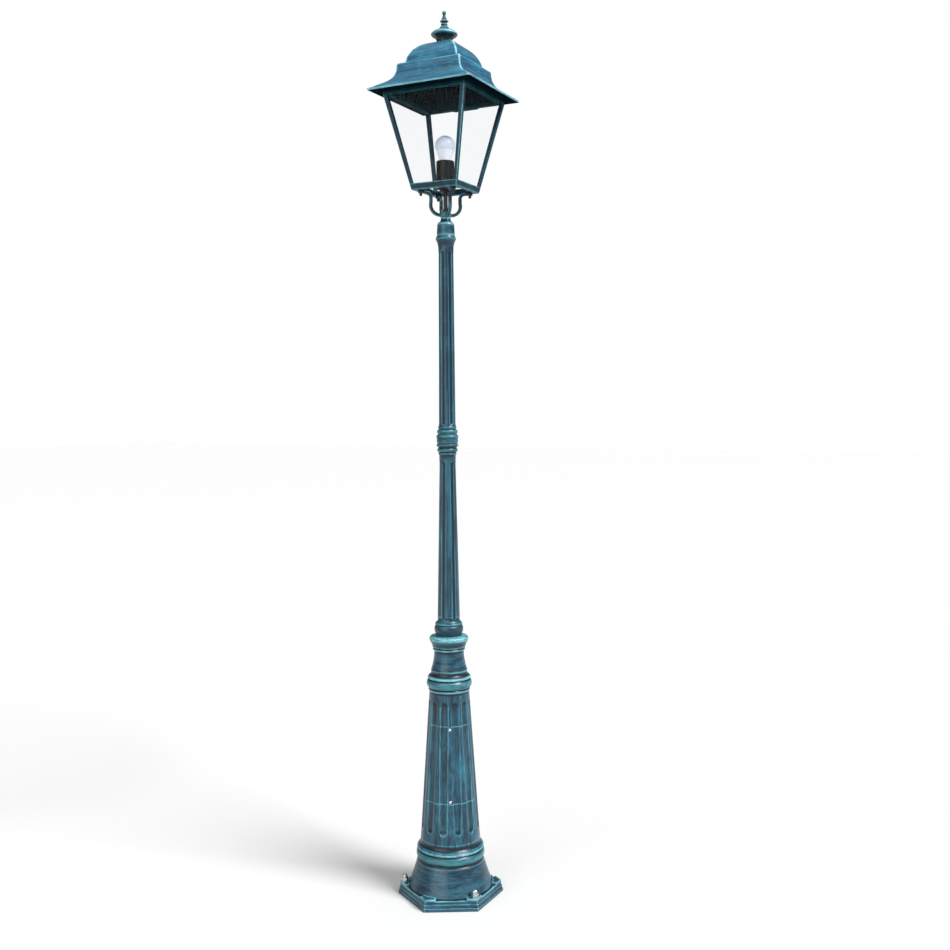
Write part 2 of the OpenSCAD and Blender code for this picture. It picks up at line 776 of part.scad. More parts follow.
module lamp_cable() color("#202020") at_door() polyhedron(
    points = [for (i = [0:len(cable_line) - 1]) for (k = [0:cable_sides - 1])
        let (d = i == 0 ? [0, 1] : cable_dir(i), a = 360 * k / cable_sides)
        [
            cable_line[i][0] + cable_r * cos(a) * d[1],
            cable_r * sin(a),
            cable_line[i][1] - cable_r * cos(a) * d[0]
        ]],
    faces = concat(
        [[for (k = [0:cable_sides - 1]) k]],
        [[for (k = [cable_sides - 1:-1:0]) (len(cable_line) - 1) * cable_sides + k]],
        [for (i = [0:len(cable_line) - 2]) for (k = [0:cable_sides - 1])
            let (n = (k + 1) % cable_sides)
            [i * cable_sides + k, (i + 1) * cable_sides + k,
             (i + 1) * cable_sides + n, i * cable_sides + n]]
    )
);

// ---------- roof ----------

// Half widths and heights up the sweeping skirt of the roof
skirt_line = [
    [eave_half, 2446], [146, 2459], [125.5, 2472], [114, 2484], [107.3, 2498],
    [105.4, 2510], [104.4, 2520]
];

function inset(points, by) = [for (p = points) [p[0] - by, p[1] - by]];
function mirrored(points) = [for (i = [len(points) - 1:-1:0]) [-points[i][0], points[i][1]]];

// A four-sided solid whose outline on every side is the same
module hipped(points) {
    outline = concat(points, mirrored(points));
    intersection() {
        translate([0, 300, 0]) rotate([90, 0, 0]) linear_extrude(600) polygon(outline);
        translate([-300, 0, 0]) rotate([90, 0, 90]) linear_extrude(600) polygon(outline);
    }
}

module skirt_outer() {
    hipped(concat([[eave_half - 1.5, roof_seat]], [[eave_half, roof_seat + 1]], skirt_line,
        [[102.6, skirt_top - 1.6], [101, skirt_top]]));
}

module skirt_inner() {
    hipped(concat([[eave_half - 3, roof_seat - 1], [eave_half - 3, roof_seat + 1.6]],
        inset(skirt_line, skirt_wall), [[101, skirt_top - 5], [0, skirt_top - 5]]));
}

// Ribs up the inside of the seat and the skirt, one set on each side
module skirt_ribs() {
    above = [for (i = [3:len(skirt_line) - 1]) skirt_line[i]];
    ring_of(4) for (y = [-90:20:90])
        translate([0, y + 1.2, 0]) rotate([90, 0, 0]) linear_extrude(2.4)
            polygon(concat(
                [[119, 2443], [123.5, 2443], [123.5, 2469]],
                inset(above, skirt_wall - 1),
                [for (i = [len(above) - 1:-1:0]) above[i] - [6.7, 6.7]],
                [[119, 2464.5]]
            ));
}

module roof_swing() {
    translate([0, pin_y, pin_z]) rotate([-roof_open, 0, 0]) translate([0, -pin_y, -pin_z])
        children();
}

module roof_skirt() color(paint) roof_swing() difference() {
    union() {
        difference() {
            skirt_outer();
            skirt_inner();
        }
        skirt_ribs();
        intersection() {
            skirt_outer();
            union() {
                // seat on the top frame
                square_ring(131, 123, roof_seat + gap, 2480);
                // hinge lugs
                for (side = [-1, 1]) translate([side * (knuckle_half + lug_end + 0.6) / 2, 0, 0])
                    translate([-(lug_end - knuckle_half - 0.6) / 2, pin_y - knuckle_r, roof_seat])
                        cube([lug_end - knuckle_half - 0.6, 2 * knuckle_r, 30]);
            }
        }
        for (side = [-1, 1]) translate([side * (knuckle_half + lug_end + 0.6) / 2, 0, 0])
            translate([-(lug_end - knuckle_half - 0.6) / 2, 0, 0]) {
                translate([0, pin_y - knuckle_r, pin_z])
                    cube([lug_end - knuckle_half - 0.6, 2 * knuckle_r, roof_seat + 1 - pin_z]);
                translate([0, pin_y, pin_z]) rotate([0, 90, 0])
                    cylinder(h = lug_end - knuckle_half - 0.6, r = knuckle_r);
            }
    }
    slab(2 * throat_half, 2 * throat_half, 2500, 2540);
    translate([-60, pin_y, pin_z]) rotate([0, 90, 0]) cylinder(h = 120, r = pin_r + 0.08);
    for (side = [-1, 1]) translate([side * 84, 0, 2510]) cylinder(h = 12.6, r = 1.7);
}

module roof_strap() color("dimgray") roof_swing() difference() {
    slab(180, 24, skirt_top - 5.2 - strap_t, skirt_top - 5.2);
    translate([0, 0, 2500]) cylinder(h = 40, r = rod_r + 0.3);
    for (side = [-1, 1]) translate([side * 84, 0, 2500]) cylinder(h = 40, r = 1.9);
}

module strap_screws() color("silver") roof_swing() for (side = [-1, 1])
    translate([side * 84, 0, 0]) {
        translate([0, 0, skirt_top - 5.2 - strap_t - 2.2]) cylinder(h = 2.2 - 0.1, r = 3.2);
        translate([0, 0, skirt_top - 5.2 - strap_t - 1]) cylinder(h = 6.5, r = 1.6);
    }

function dome_outside() = concat(
    [[dome_half, skirt_top + gap], [dome_half, 2527]],
    arc(12, 2522, 74.3, 4, 75.5, 10),
    [[26, dome_top]]
);

module roof_dome() color(paint) roof_swing() difference() {
    hipped(dome_outside());
    hipped(concat([[dome_half - 4, skirt_top - 5], [dome_half - 4, 2527]],
        arc(12, 2522, 70.5, 4, 74, 10), [[0, 2589.8]]));
    translate([0, 0, 2500]) cylinder(h = 120, r = rod_r + 0.3);
}

module vent_cap() color(paint) roof_swing() difference() {
    turned([
        [rod_r + 0.3, hat_seat + gap], [25, hat_seat + gap], [25, 2605], [28, 2610], [38, 2618],
        [39.7, 2621], [39.2, 2624], [33.5, 2628], [22, 2634], [13, finial_z],
        [rod_r + 0.3, finial_z]
    ]);
    // hollow of the neck, with air slots through its wall
    translate([0, 0, hat_seat - 5]) cylinder(h = 17, r = 21.5);
    ring_of(8) translate([15, -3.5, 2597.5]) cube([14, 7, 6]);
}

module finial() color(paint) roof_swing() difference() {
    turned(concat(
        [[0, finial_z + gap], [13.5, finial_z + gap], [13.5, 2643], [9.4, 2648]],
        arc(8.2, 2651.5, 1.8, -90, 90, 4),
        [[8, 2656], [11.6, 2659]],
        arc(11.6, 2660.5, 1.5, -60, 60, 3),
        [[9.7, 2665], [6.2, 2671], [4, 2679]],
        arc(0, 2684.6, 6, -50, 62, 7),
        [[0, 2690]]
    ));
    translate([0, 0, finial_z - 1]) cylinder(h = 18, r = rod_r + 0.1);
}

module finial_rod() color("silver") roof_swing()
    translate([0, 0, 2508]) cylinder(h = 149, r = rod_r);

module rod_nut() color("silver") roof_swing()
    translate([0, 0, skirt_top - 5.4 - strap_t - 5]) hex_nut(10, 5, rod_r + 0.1);

base_post();
access_door();
door_screws();
anchor_washers();
anchor_cap_nuts();
terminal_plate();
terminal_plate_screws();
terminal_block();
terminal_clamp_screws();
earth_screw();
lower_pole();
pole_lock_nut();
upper_pole();
joint_set_screws();
pole_cap();
cap_set_screws();
lantern_spider();
stem_tube();
stem_nuts();
bottom_frame();
frame_screws();
frame_nuts();
lampholder_bar();
corner_post_front_left();
corner_post_front_right();
corner_post_back_left();
corner_post_back_right();
glass_front();
glass_back();
glass_left();
glass_right();
top_frame();
top_frame_screws();
roof_catch();
roof_catch_screw();
hinge_pin();
lampholder_housing();
lampholder_insert();
lampholder_shell();
centre_contact();
lamp_cap();
lamp_collar();
lamp_globe();
lamp_cable();
roof_skirt();
roof_strap();
strap_screws();
roof_dome();
vent_cap();
finial();
finial_rod();
rod_nut();
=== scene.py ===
"""Looks of the street lamp post: painted castings, glass and lamp round the CAD frame."""
import json
import math

import bmesh
import bpy
import numpy as np
from mathutils import Matrix, Vector

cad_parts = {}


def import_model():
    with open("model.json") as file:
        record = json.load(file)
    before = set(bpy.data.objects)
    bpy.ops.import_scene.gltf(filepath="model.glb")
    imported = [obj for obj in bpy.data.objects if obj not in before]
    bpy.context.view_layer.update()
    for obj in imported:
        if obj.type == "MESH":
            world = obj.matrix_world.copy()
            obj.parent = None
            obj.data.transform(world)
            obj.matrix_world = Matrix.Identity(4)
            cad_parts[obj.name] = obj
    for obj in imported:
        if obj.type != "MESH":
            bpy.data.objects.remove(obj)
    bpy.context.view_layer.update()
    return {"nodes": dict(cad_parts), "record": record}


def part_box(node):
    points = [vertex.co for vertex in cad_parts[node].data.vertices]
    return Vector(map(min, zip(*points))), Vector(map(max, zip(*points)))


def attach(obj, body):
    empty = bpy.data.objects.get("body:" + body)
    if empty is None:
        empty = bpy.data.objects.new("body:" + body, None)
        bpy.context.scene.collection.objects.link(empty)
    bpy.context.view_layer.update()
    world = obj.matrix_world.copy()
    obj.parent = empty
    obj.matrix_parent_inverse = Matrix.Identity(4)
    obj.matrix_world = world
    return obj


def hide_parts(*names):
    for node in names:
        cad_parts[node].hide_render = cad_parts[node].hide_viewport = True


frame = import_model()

MM = 0.001
RECORD = frame["record"]
BODY = {node: body for body, nodes in RECORD["behaviour"]["bodies"].items() for node in nodes}
SLOT = {part["node"]: part["material_slot"] for part in RECORD["subparts"]}


def low(node, axis=2):
    """Lowest coordinate of a CAD node along an axis, in mm."""
    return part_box(node)[0][axis] / MM


def high(node, axis=2):
    """Highest coordinate of a CAD node along an axis, in mm."""
    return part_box(node)[1][axis] / MM


# ---------- sizes in mm, as the CAD has them ----------

TURN = math.radians(28.5)           # the base and poles are turned against the lantern
DOOR_ANGLE = TURN - math.pi / 2
PLATE_R = 163.5                     # centre to corner of the hexagonal plate
PLATE_H = 31
PAD_H = 6
PAD_BITE_R = 48                     # round bites between the corner pads
STEP_IN = 3                         # each step of the plate's edge
BELL_TOP = 118
BELL_RINGS_TOP = 152
CONE_FOOT, CONE_HEAD = (92, 182), (61.6, 640)       # radius and height
CONE_WALL = 7
CONE_RINGS_FOOT = 650
CONE_FLUTES = 12
FLUTE_LOW, FLUTE_HIGH = 212, 619
DOOR_LOW, DOOR_HIGH = 309, 543
DOOR_HALF = math.radians(60)
DOOR_GAP = 0.8
DOOR_MIDDLE_R = 76
DOOR_T = 6
BASE_TOP = low("lower_pole") + 84
SHAFT_FLUTES = 6
JOINT_Z = 1433
PAD_OUT = 77                        # from the middle to the screw pads of the spider's arms
SILL_Z = high("bottom_frame")
HEAD_Z, SEAT_Z = low("top_frame"), high("top_frame")
FOOT_HALF = 75.4                    # half width at the lower edge of the bottom frame
SILL_HALF = high("bottom_frame", 0)
HEAD_HALF = high("top_frame", 0)
PIN_Y, PIN_Z = 141.5, 2436          # the roof's hinge, behind the top frame
KNUCKLE_R = 5
KNUCKLE_HALF = 20                   # half the length of the hinge's middle knuckle
LUG_LENGTH = 19.4                   # each of the roof's lugs, to either side of it
EAVE_HALF = high("roof_skirt", 0)
ROOF_TOP = high("roof_skirt")
SKIRT_LINE = [(146, 2459), (125.5, 2472), (114, 2484), (107.3, 2498), (105.4, 2510), (104.4, 2520)]
SKIRT_WALL = 3.2
RIB_PITCH = 20                      # ribs inside the roof, and the first and last of a side
RIB_ENDS = (-90, 90)
SHOULDER = (12, 2522)               # middle of the dome's round shoulder
WEAR_SEED = 4                       # the cone and its door share their worn flute edges


# ---------- outlines ----------

def bow(start, end, rise, steps=8):
    """Points on an arc from start to end that rises to the outside by rise (negative is hollow)."""
    start, end = np.array(start, float), np.array(end, float)
    chord = end - start
    half = np.linalg.norm(chord) / 2
    along = chord / (2 * half)
    out = np.array([along[1], -along[0]])
    radius = (half * half + rise * rise) / (2 * rise)
    reach = math.asin(min(1, half / abs(radius)))
    turn = np.linspace(-reach, reach, steps + 1)
    middle = (start + end) / 2 + out * (rise - radius)
    return [middle + abs(radius) * math.sin(a) * along + radius * math.cos(a) * out for a in turn]


def moulding(r, z0, z1, rise, steps=10):
    """A round moulding that stands proud of radius r between two heights."""
    return bow((r, z0), (r, z1), rise, steps)


def outline(*parts):
    """One list of (radius, height) from single points and lists of points."""
    points = []
    for part in parts:
        points += [np.array(part, float)] if np.ndim(part) == 1 else [np.array(p) for p in part]
    return np.array([p for i, p in enumerate(points)
                     if i == 0 or np.linalg.norm(p - points[i - 1]) > 0.05])


def soften(points, cut=0.9, sharp=math.radians(22), closed=False):
    """Cuts each sharp corner of an outline, so that edges are a little worn."""
    result = []
    count = len(points)
    for i, p in enumerate(points):
        if not closed and i in (0, count - 1):
            result.append(p)
            continue
        before, after = points[i - 1] - p, points[(i + 1) % count] - p
        a, b = np.linalg.norm(before), np.linalg.norm(after)
        turn = math.pi - math.acos(np.clip(before @ after / (a * b), -1, 1))
        if turn < sharp:
            result.append(p)
        else:
            result += [p + before * min(cut / a, 0.4), p + after * min(cut / b, 0.4)]
    return np.array(result)


def fill_in(points, step):
    """Adds points so that no two neighbours are further apart than step."""
    result = [points[0]]
    for a, b in zip(points[:-1], points[1:]):
        parts = max(1, math.ceil(np.linalg.norm(b - a) / step))
        result += [a + (b - a) * k / parts for k in range(1, parts + 1)]
    return np.array(result)


def taper(points, steps):
    """A line through four points, with rows a step apart that suits each stretch."""
    parts = [fill_in(np.array(points[k:k + 2], float), step) for k, step in enumerate(steps)]
    return np.concatenate([parts[0], parts[1][1:], parts[2][1:]])


# ---------- meshes ----------

def unit(v):
    """Vectors made one long."""
    return v / np.maximum(np.linalg.norm(v, axis=-1, keepdims=True), 1e-9)


def beside(grid, reach, axis, closed):
    """The points that lie reach along a grid's lines to either side of each of its points."""
    lines = np.moveaxis(grid, axis, 0)
    steps = np.linalg.norm(np.diff(lines, axis=0, append=lines[:1]), axis=2)
    rounds = 3 if closed else 1         # a closed line is walked three times, to reach past its ends
    walked = np.cumsum(np.tile(steps, (rounds, 1)), axis=0) - np.tile(steps, (rounds, 1))
    lines3 = np.tile(lines, (rounds, 1, 1))
    first = len(lines) * (rounds // 2)
    sides = []
    for sign in (-1, 1):
        out = np.empty_like(lines)
        for k in range(lines.shape[1]):
            wanted = walked[first:first + len(lines), k] + sign * reach
            for c in range(3):
                out[:, k, c] = np.interp(wanted, walked[:, k], lines3[:, k, c])
        sides.append(np.moveaxis(out, 0, axis))
    return sides


def normals(grid, closed):
    """The direction that faces out at each point of a grid."""
    du = np.roll(grid, -1, 1) - np.roll(grid, 1, 1)
    dv = np.roll(grid, -1, 0) - np.roll(grid, 1, 0)
    if not closed[0]:
        dv[0], dv[-1] = grid[1] - grid[0], grid[-1] - grid[-2]
    if not closed[1]:
        du[:, 0], du[:, -1] = grid[:, 1] - grid[:, 0], grid[:, -1] - grid[:, -2]
    return unit(np.cross(du, dv))


def relief(grid, closed=(True, True), reach=(5.0, 3.5), round_plan=True):
    """How far each point stands proud of its surroundings, in mm; negative in a groove."""
    outward = normals(grid, closed)
    total = np.zeros(grid.shape[:2])
    for axis in (0, 1):
        before, after = beside(grid, reach[axis], axis, closed[axis])
        proud = ((grid - (before + after) / 2) * outward).sum(-1)
        if axis == 1 and round_plan:
            radius = np.maximum(np.linalg.norm(grid[..., :2], axis=-1), 3)
            proud = proud - reach[1] ** 2 / (2 * radius)
        total += proud
    return total


class Shape:
    """Collects surfaces for one mesh, with a relief value at each point."""

    def __init__(self):
        self.points, self.faces, self.relief, self.count = [], [], [], 0

    def add(self, points, faces, proud=0.0):
        points = np.asarray(points, float).reshape(-1, 3)
        self.points.append(points)
        self.relief.append(np.broadcast_to(np.asarray(proud, float).ravel(), len(points)))
        self.faces += [tuple(int(i) + self.count for i in face) for face in faces]
        self.count += len(points)

    def add_grid(self, grid, closed=(True, True), proud=None, skip=None, **how):
        """A sheet of quads; skip(row, column) says which quads to leave out."""
        rows, cols = grid.shape[:2]
        if proud is None:
            proud = relief(grid, closed, **how)
        faces = []
        for i in range(rows if closed[0] else rows - 1):
            below = (i + 1) % rows
            for j in range(cols if closed[1] else cols - 1):
                if skip is None or not skip(i, j):
                    right = (j + 1) % cols
                    faces.append((i * cols + j, i * cols + right, below * cols + right,
                                  below * cols + j))
        self.add(grid, faces, proud)

    def add_rod(self, grid, **how):
        """A closed section carried along a line, with both ends capped."""
        rows, cols = grid.shape[:2]
        start = self.count
        self.add_grid(grid, (False, True), round_plan=False, **how)
        self.faces.append(tuple(start + j for j in reversed(range(cols))))
        self.faces.append(tuple(start + (rows - 1) * cols + j for j in range(cols)))

    def add_square_ring(self, section):
        """A ring on a square plan; its section is a closed line of (half width, height)."""
        rows = fill_in(np.vstack([section, section[:1]]), 4)[:-1]
        self.add_grid(squared(rows), round_plan=False, reach=(3, 3))

    def bridge(self, loop, other):
        """Quads from one closed loop of points to another of as many."""
        ahead, other_ahead = loop[1:] + loop[:1], other[1:] + other[:1]
        self.faces += list(zip(loop, ahead, other_ahead, other))

    def add_bmesh(self, bm):
        bm.verts.index_update()
        self.add([v.co[:] for v in bm.verts], [[v.index for v in f.verts] for f in bm.faces])
        bm.free()

    def add_block(self, corner, size, bevel=0.8):
        """A box with softened edges, from its lowest corner."""
        bm = bmesh.new()
        bmesh.ops.create_cube(bm, size=1)
        bm.transform(Matrix.Translation(Vector(corner) + Vector(size) / 2)
                     @ Matrix.Diagonal((*size, 1)))
        bmesh.ops.bevel(bm, geom=bm.edges[:], offset=bevel, segments=2, affect="EDGES")
        self.add_bmesh(bm)

    def add_barrel(self, centre, radius, length, bevel=0.6):
        """A short cylinder along X with softened rims."""
        bm = bmesh.new()
        bmesh.ops.create_cone(bm, cap_ends=True, segments=40, radius1=radius, radius2=radius,
                              depth=length)
        rims = [e for e in bm.edges if abs(e.verts[0].co.z - e.verts[1].co.z) < 1e-6]
        bmesh.ops.bevel(bm, geom=rims, offset=bevel, segments=2, affect="EDGES")
        bm.transform(Matrix.Translation(centre) @ Matrix.Rotation(math.pi / 2, 4, "Y"))
        self.add_bmesh(bm)

    def mesh(self, name):
        mesh = bpy.data.meshes.new(name)
        mesh.from_pydata((np.concatenate(self.points) * MM).tolist(), [], self.faces)
        values = np.concatenate(self.relief).astype(np.float32)
        mesh.attributes.new("relief", "FLOAT", "POINT").data.foreach_set("value", values)
        mesh.polygons.foreach_set("use_smooth", [True] * len(mesh.polygons))
        mesh.set_sharp_from_angle(angle=math.radians(50))
        mesh.validate()
        mesh.update()
        return mesh


def border(i0, i1, j0, j1, columns):
    """Points round a block of a grid, from its first row and column; a range may run down."""
    up, across = (1 if i1 > i0 else -1), (1 if j1 > j0 else -1)
    block = [(i0, j) for j in range(j0, j1, across)] + [(i, j1) for i in range(i0, i1, up)]
    block += [(i1, j) for j in range(j1, j0, -across)] + [(i, j0) for i in range(i1, i0, -up)]
    return [i * columns + j % columns for i, j in block]


def new_object(name, data):
    """An object in the scene."""
    made = bpy.data.objects.new(name, data)
    bpy.context.scene.collection.objects.link(made)
    return made


def place(shape, name, node, *materials, choose=None):
    """Puts a finished shape where a CAD node was, on that node's body.

    choose(z, index) says which of its materials a face has; it has the first one otherwise.
    """
    piece = new_object(name, shape.mesh(name))
    for material in materials:
        piece.data.materials.append(material)
    if choose:
        for face in piece.data.polygons:
            face.material_index = int(choose(face.center.z / MM, face.index))
    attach(piece, BODY[node])
    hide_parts(node)


# ---------- rings: an outline carried round a circle or a square ----------

def spun(x, y, a):
    """A point turned about the upright axis."""
    return x * math.cos(a) - y * math.sin(a), x * math.sin(a) + y * math.cos(a)


def circle_columns(count):
    """Angles of a ring's columns, which start at a corner of the base."""
    return TURN + np.arange(count) * 2 * math.pi / count


def turned(points, angles):
    """The grid of a turned shape; one column for each angle."""
    r, z = np.asarray(points)[:, :1], np.asarray(points)[:, 1:]
    return np.stack([r * np.cos(angles), r * np.sin(angles), z + 0 * angles], -1)


def square_loop(half, corner, per_side=40, per_corner=4):
    """Points round a square with rounded corners, anticlockwise from the +X side."""
    loop = []
    for quarter in range(4):
        flat = half - corner
        side = [(half, y) for y in np.linspace(-flat, flat, per_side, endpoint=False)]
        arcs = [(flat + corner * math.cos(a), flat + corner * math.sin(a))
                for a in np.linspace(0, math.pi / 2, per_corner, endpoint=False)]
        loop += [spun(x, y, quarter * math.pi / 2) for x, y in side + arcs]
    return np.array(loop)


def squared(points, corner=1.2, per_side=40):
    """The grid of a four-sided ring; each point of the outline is (half width, height)."""
    rows = []
    for half, z in points:
        loop = square_loop(half, min(corner, half * 0.4), per_side)
        rows.append(np.column_stack([loop, np.full(len(loop), z)]))
    return np.array(rows)


def flute_depth(angle, z, r, flutes, start, cutter, depth, z0, z1):
    """Depth of round-ended flutes at a point of a shaft, as a round cutter would leave them."""
    pitch = 2 * math.pi / flutes
    off = (angle - start + pitch / 2) % pitch - pitch / 2
    across = r * np.sin(off)
    reach = math.sqrt(cutter ** 2 - (cutter - depth) ** 2)
    past = np.maximum(0, np.maximum(z - (z1 - reach), (z0 + reach) - z))
    inside = cutter ** 2 - across ** 2 - past ** 2
    return np.maximum(0, np.sqrt(np.maximum(inside, 0)) - (cutter - depth))


def carve(grid, depth, angles):
    """Moves the points of a turned grid in towards its axis."""
    grid[..., 0] -= depth * np.cos(angles)
    grid[..., 1] -= depth * np.sin(angles)


def uneven(proud, angles, z, edges, seed, arch_z):
    """Makes some flute edges more worn than others, and the arches at their tops the least."""
    strength = np.random.default_rng(seed).uniform(0.25, 1.05, edges)
    cell = np.floor((angles - TURN) / (2 * math.pi) * edges + 1e-6).astype(int) % edges
    arch = np.where(z > arch_z, 0.4, 1.0)
    return np.where(proud > 0, proud * strength[cell] * arch, proud)


# ---------- base ----------

def cone_r(z):
    """Outer radius of the cone at a height."""
    share = (z - CONE_FOOT[1]) / (CONE_HEAD[1] - CONE_FOOT[1])
    return CONE_FOOT[0] + (CONE_HEAD[0] - CONE_FOOT[0]) * share


def cone_flutes(angle, z, r):
    """Depth of the cone's flutes at a point of it."""
    return flute_depth(angle, z, r, CONE_FLUTES, start=TURN + math.pi / CONE_FLUTES,
                       cutter=21, depth=4, z0=FLUTE_LOW, z1=FLUTE_HIGH)


def door_tongue(angle, z, r):
    """The pointed tongue that dips in to the door's upper edge."""
    across = np.abs(r * np.sin(angle - DOOR_ANGLE))
    ahead = np.cos(angle - DOOR_ANGLE) > 0
    near = np.clip(1 - np.abs(z - DOOR_HIGH) / 14, 0, 1)
    return 4.2 * np.clip(1 - across / 8, 0, 1) * near * ahead


def plate_corner(angle):
    """Radius of a hexagon at an angle, as a share of its corner radius."""
    off = (angle - TURN) % (math.pi / 3) - math.pi / 6
    return math.cos(math.pi / 6) / np.cos(off)


def pad_height(r, angles):
    """Height of the corner pads over the plate: full, but for a round bite at each side's middle."""
    x, y = r * np.cos(angles), r * np.sin(angles)
    height = np.ones_like(x)
    for k in range(6):
        a = TURN + math.pi / 6 + k * math.pi / 3
        bite = math.cos(math.pi / 6) * PLATE_R
        gap = np.hypot(x - bite * math.cos(a), y - bite * math.sin(a)) - PAD_BITE_R
        edge = np.clip((gap + 1.5) / 3, 0, 1)
        height *= edge * edge * (3 - 2 * edge)
    return PAD_H * height


def base_outside():
    """Outline of the bell, cone, mouldings and collar above the plate."""
    lower = outline(
        (130.5, PLATE_H), (129.6, 35), bow((129.6, 35), (103.8, 113), -1.0, 12), (101, 117),
        (100.6, 120), moulding(101.2, 121.6, 147.4, 4.9, 14), (100.8, 149),
        moulding(101.3, 150, 158, 2.3, 8), (100.2, 160), bow((100, 161), (92.6, 181), -3.4, 10),
        (cone_r(190), 190))
    fluted = taper([(cone_r(z), z) for z in (190, DOOR_LOW, DOOR_HIGH, 636)], (4, 6.5, 4))
    upper = outline(
        (cone_r(640), 640), moulding(61.8, 642, 652, 2.3, 8), moulding(63.4, 653, 680.4, 6.5, 16),
        moulding(63.8, 681, 689, 2.7, 8), bow((64, 690), (56.6, 706), -3.6, 8),
        bow((56.6, 706), (45.7, 762), -2.2, 10), (45.7, 767),
        moulding(47.2, 768, 776, 2.6, 8), (48.6, 777.4),
        bow((51, 778.4), (58, 796.4), -1.4, 8), moulding(58.2, 797.6, 810, 2.0, 10),
        (57.2, BASE_TOP - 0.8), (56.4, BASE_TOP))
    return soften(fill_in(lower, 4)), fluted, soften(fill_in(upper, 4))


def level_ring(r, angles, z):
    """One row of points, at a radius and a height for each angle."""
    return np.column_stack([r * np.cos(angles), r * np.sin(angles), 0 * angles + z])


def plate_rows(angles, bell_r):
    """Rows of points up the plate's stepped edge and in to the bell, and the wear and painted shade of
    the edge rows.
    """
    # the top arris of each step is worn, and its foot gets painted shade
    steps = [(PLATE_R - 1.2, 0, 0.1), (PLATE_R, 1.4, 0.1)]
    for inset, foot, top in ((0, 1.4, 11), (STEP_IN, 11.4, 22), (2 * STEP_IN, 22.4, PLATE_H + 1)):
        if inset:
            steps.append((PLATE_R - inset, foot, -0.5))
        steps += [(PLATE_R - inset, foot + 1.6, 0.05), (PLATE_R - inset, top - 3.4, 0.05)]
        if top < PLATE_H:
            steps += [(PLATE_R - inset, top - 1.4, 0.8), (PLATE_R - inset - 1.2, top, 0.8)]
    rows = [level_ring(corner_r * plate_corner(angles), angles, z) for corner_r, z, _ in steps]
    edge = (PLATE_R - 2 * STEP_IN) * plate_corner(angles)
    rows.append(level_ring(edge, angles, PLATE_H - 1.2 + pad_height(edge, angles)))
    for share in np.concatenate([[0.0], np.linspace(0.04, 1, 26)]):
        r = (edge - 1.2) * (1 - share) + bell_r * share
        rows.append(level_ring(r, angles, PLATE_H + pad_height(r, angles)))
    return np.array(rows), [worn for _, _, worn in steps]


def base_casting(material, bell_material, ring_material):
    """Plate, bell, fluted cone and collar in one hollow piece, with an opening for the door."""
    lower, fluted, upper = base_outside()
    angles = circle_columns(288)
    plate, worn = plate_rows(angles, lower[0][0])
    wall = np.concatenate([lower[1:], fluted[1:], upper])
    body = turned(wall, angles)
    r, z = wall[:, :1], wall[:, 1:]
    carve(body, cone_flutes(angles, z, r), angles)
    body[..., 2] -= door_tongue(angles, z, r)
    # inside: the same rows behind the door's opening, and few elsewhere
    first = next(i for i, p in enumerate(wall) if abs(p[1] - DOOR_LOW) < 0.01)
    last = next(i for i, p in enumerate(wall) if abs(p[1] - DOOR_HIGH) < 0.01)
    inner = np.array([
        (55, BASE_TOP), (34.5, BASE_TOP), (33.3, BASE_TOP - 1), (33.3, 751), (41, 750), (41, 738),
        (46.5, 715), (53.5, 690), (cone_r(640) - CONE_WALL, 640), (62, 560)])
    behind = wall[first:last + 1][::-1] - (CONE_WALL, 0)
    below = np.array([(78, 290), (85, 182), (93.4, 119), (111, 63), (118, 40), (118, 0)])
    inside = turned(np.concatenate([inner, behind, below]), angles)
    grid = np.concatenate([plate, body, inside])
    # the opening's rows in the outer skin and the inner one, which runs down, and its columns
    row0, row1 = len(plate) + first, len(plate) + last
    mirror0 = len(plate) + len(wall) + len(inner)
    mirror1 = mirror0 + last - first
    columns = len(angles)
    col0 = round((DOOR_ANGLE - DOOR_HALF - TURN) % (2 * math.pi) / (2 * math.pi) * columns)
    col1 = col0 + round(2 * DOOR_HALF / (2 * math.pi) * columns)

    def in_opening(i, j):
        across = (j - col0) % columns < col1 - col0
        return across and (row0 <= i < row1 or mirror0 <= i < mirror1)

    proud = relief(grid)
    from_corner = (angles - TURN + math.pi / 6) % (math.pi / 3) - math.pi / 6
    # edge rows: worn arrises, painted shade at the steps' feet, and worn corners of the hexagon
    for row, value in enumerate(worn):
        proud[row] = value + 0.8 * np.clip(1 - np.abs(from_corner) * PLATE_R / 3.6, 0, 1)
    start = len(lower) - 1
    end = start + len(fluted) - 1
    shaft = slice(len(plate) + start, len(plate) + end)
    proud[shaft] = uneven(proud[shaft], angles, z[start:end], 2 * CONE_FLUTES, WEAR_SEED,
                          FLUTE_HIGH - 16)
    lip = np.arange(col0, col1 + 1) % columns
    ragged = np.random.default_rng(4).random(len(lip))
    for row in (row0, row1):
        proud[row, lip] = 0.9 + 0.9 * ragged
    shape = Shape()
    shape.add_grid(grid, proud=proud, skip=in_opening)
    shape.bridge(border(row0, row1, col0, col1, columns), border(mirror1, mirror0, col0, col1, columns))
    place(shape, "base_casting", "base_post", material, bell_material, ring_material,
          choose=lambda z, _: 1 if z < BELL_TOP else 2 * (not BELL_RINGS_TOP <= z <= CONE_RINGS_FOOT))


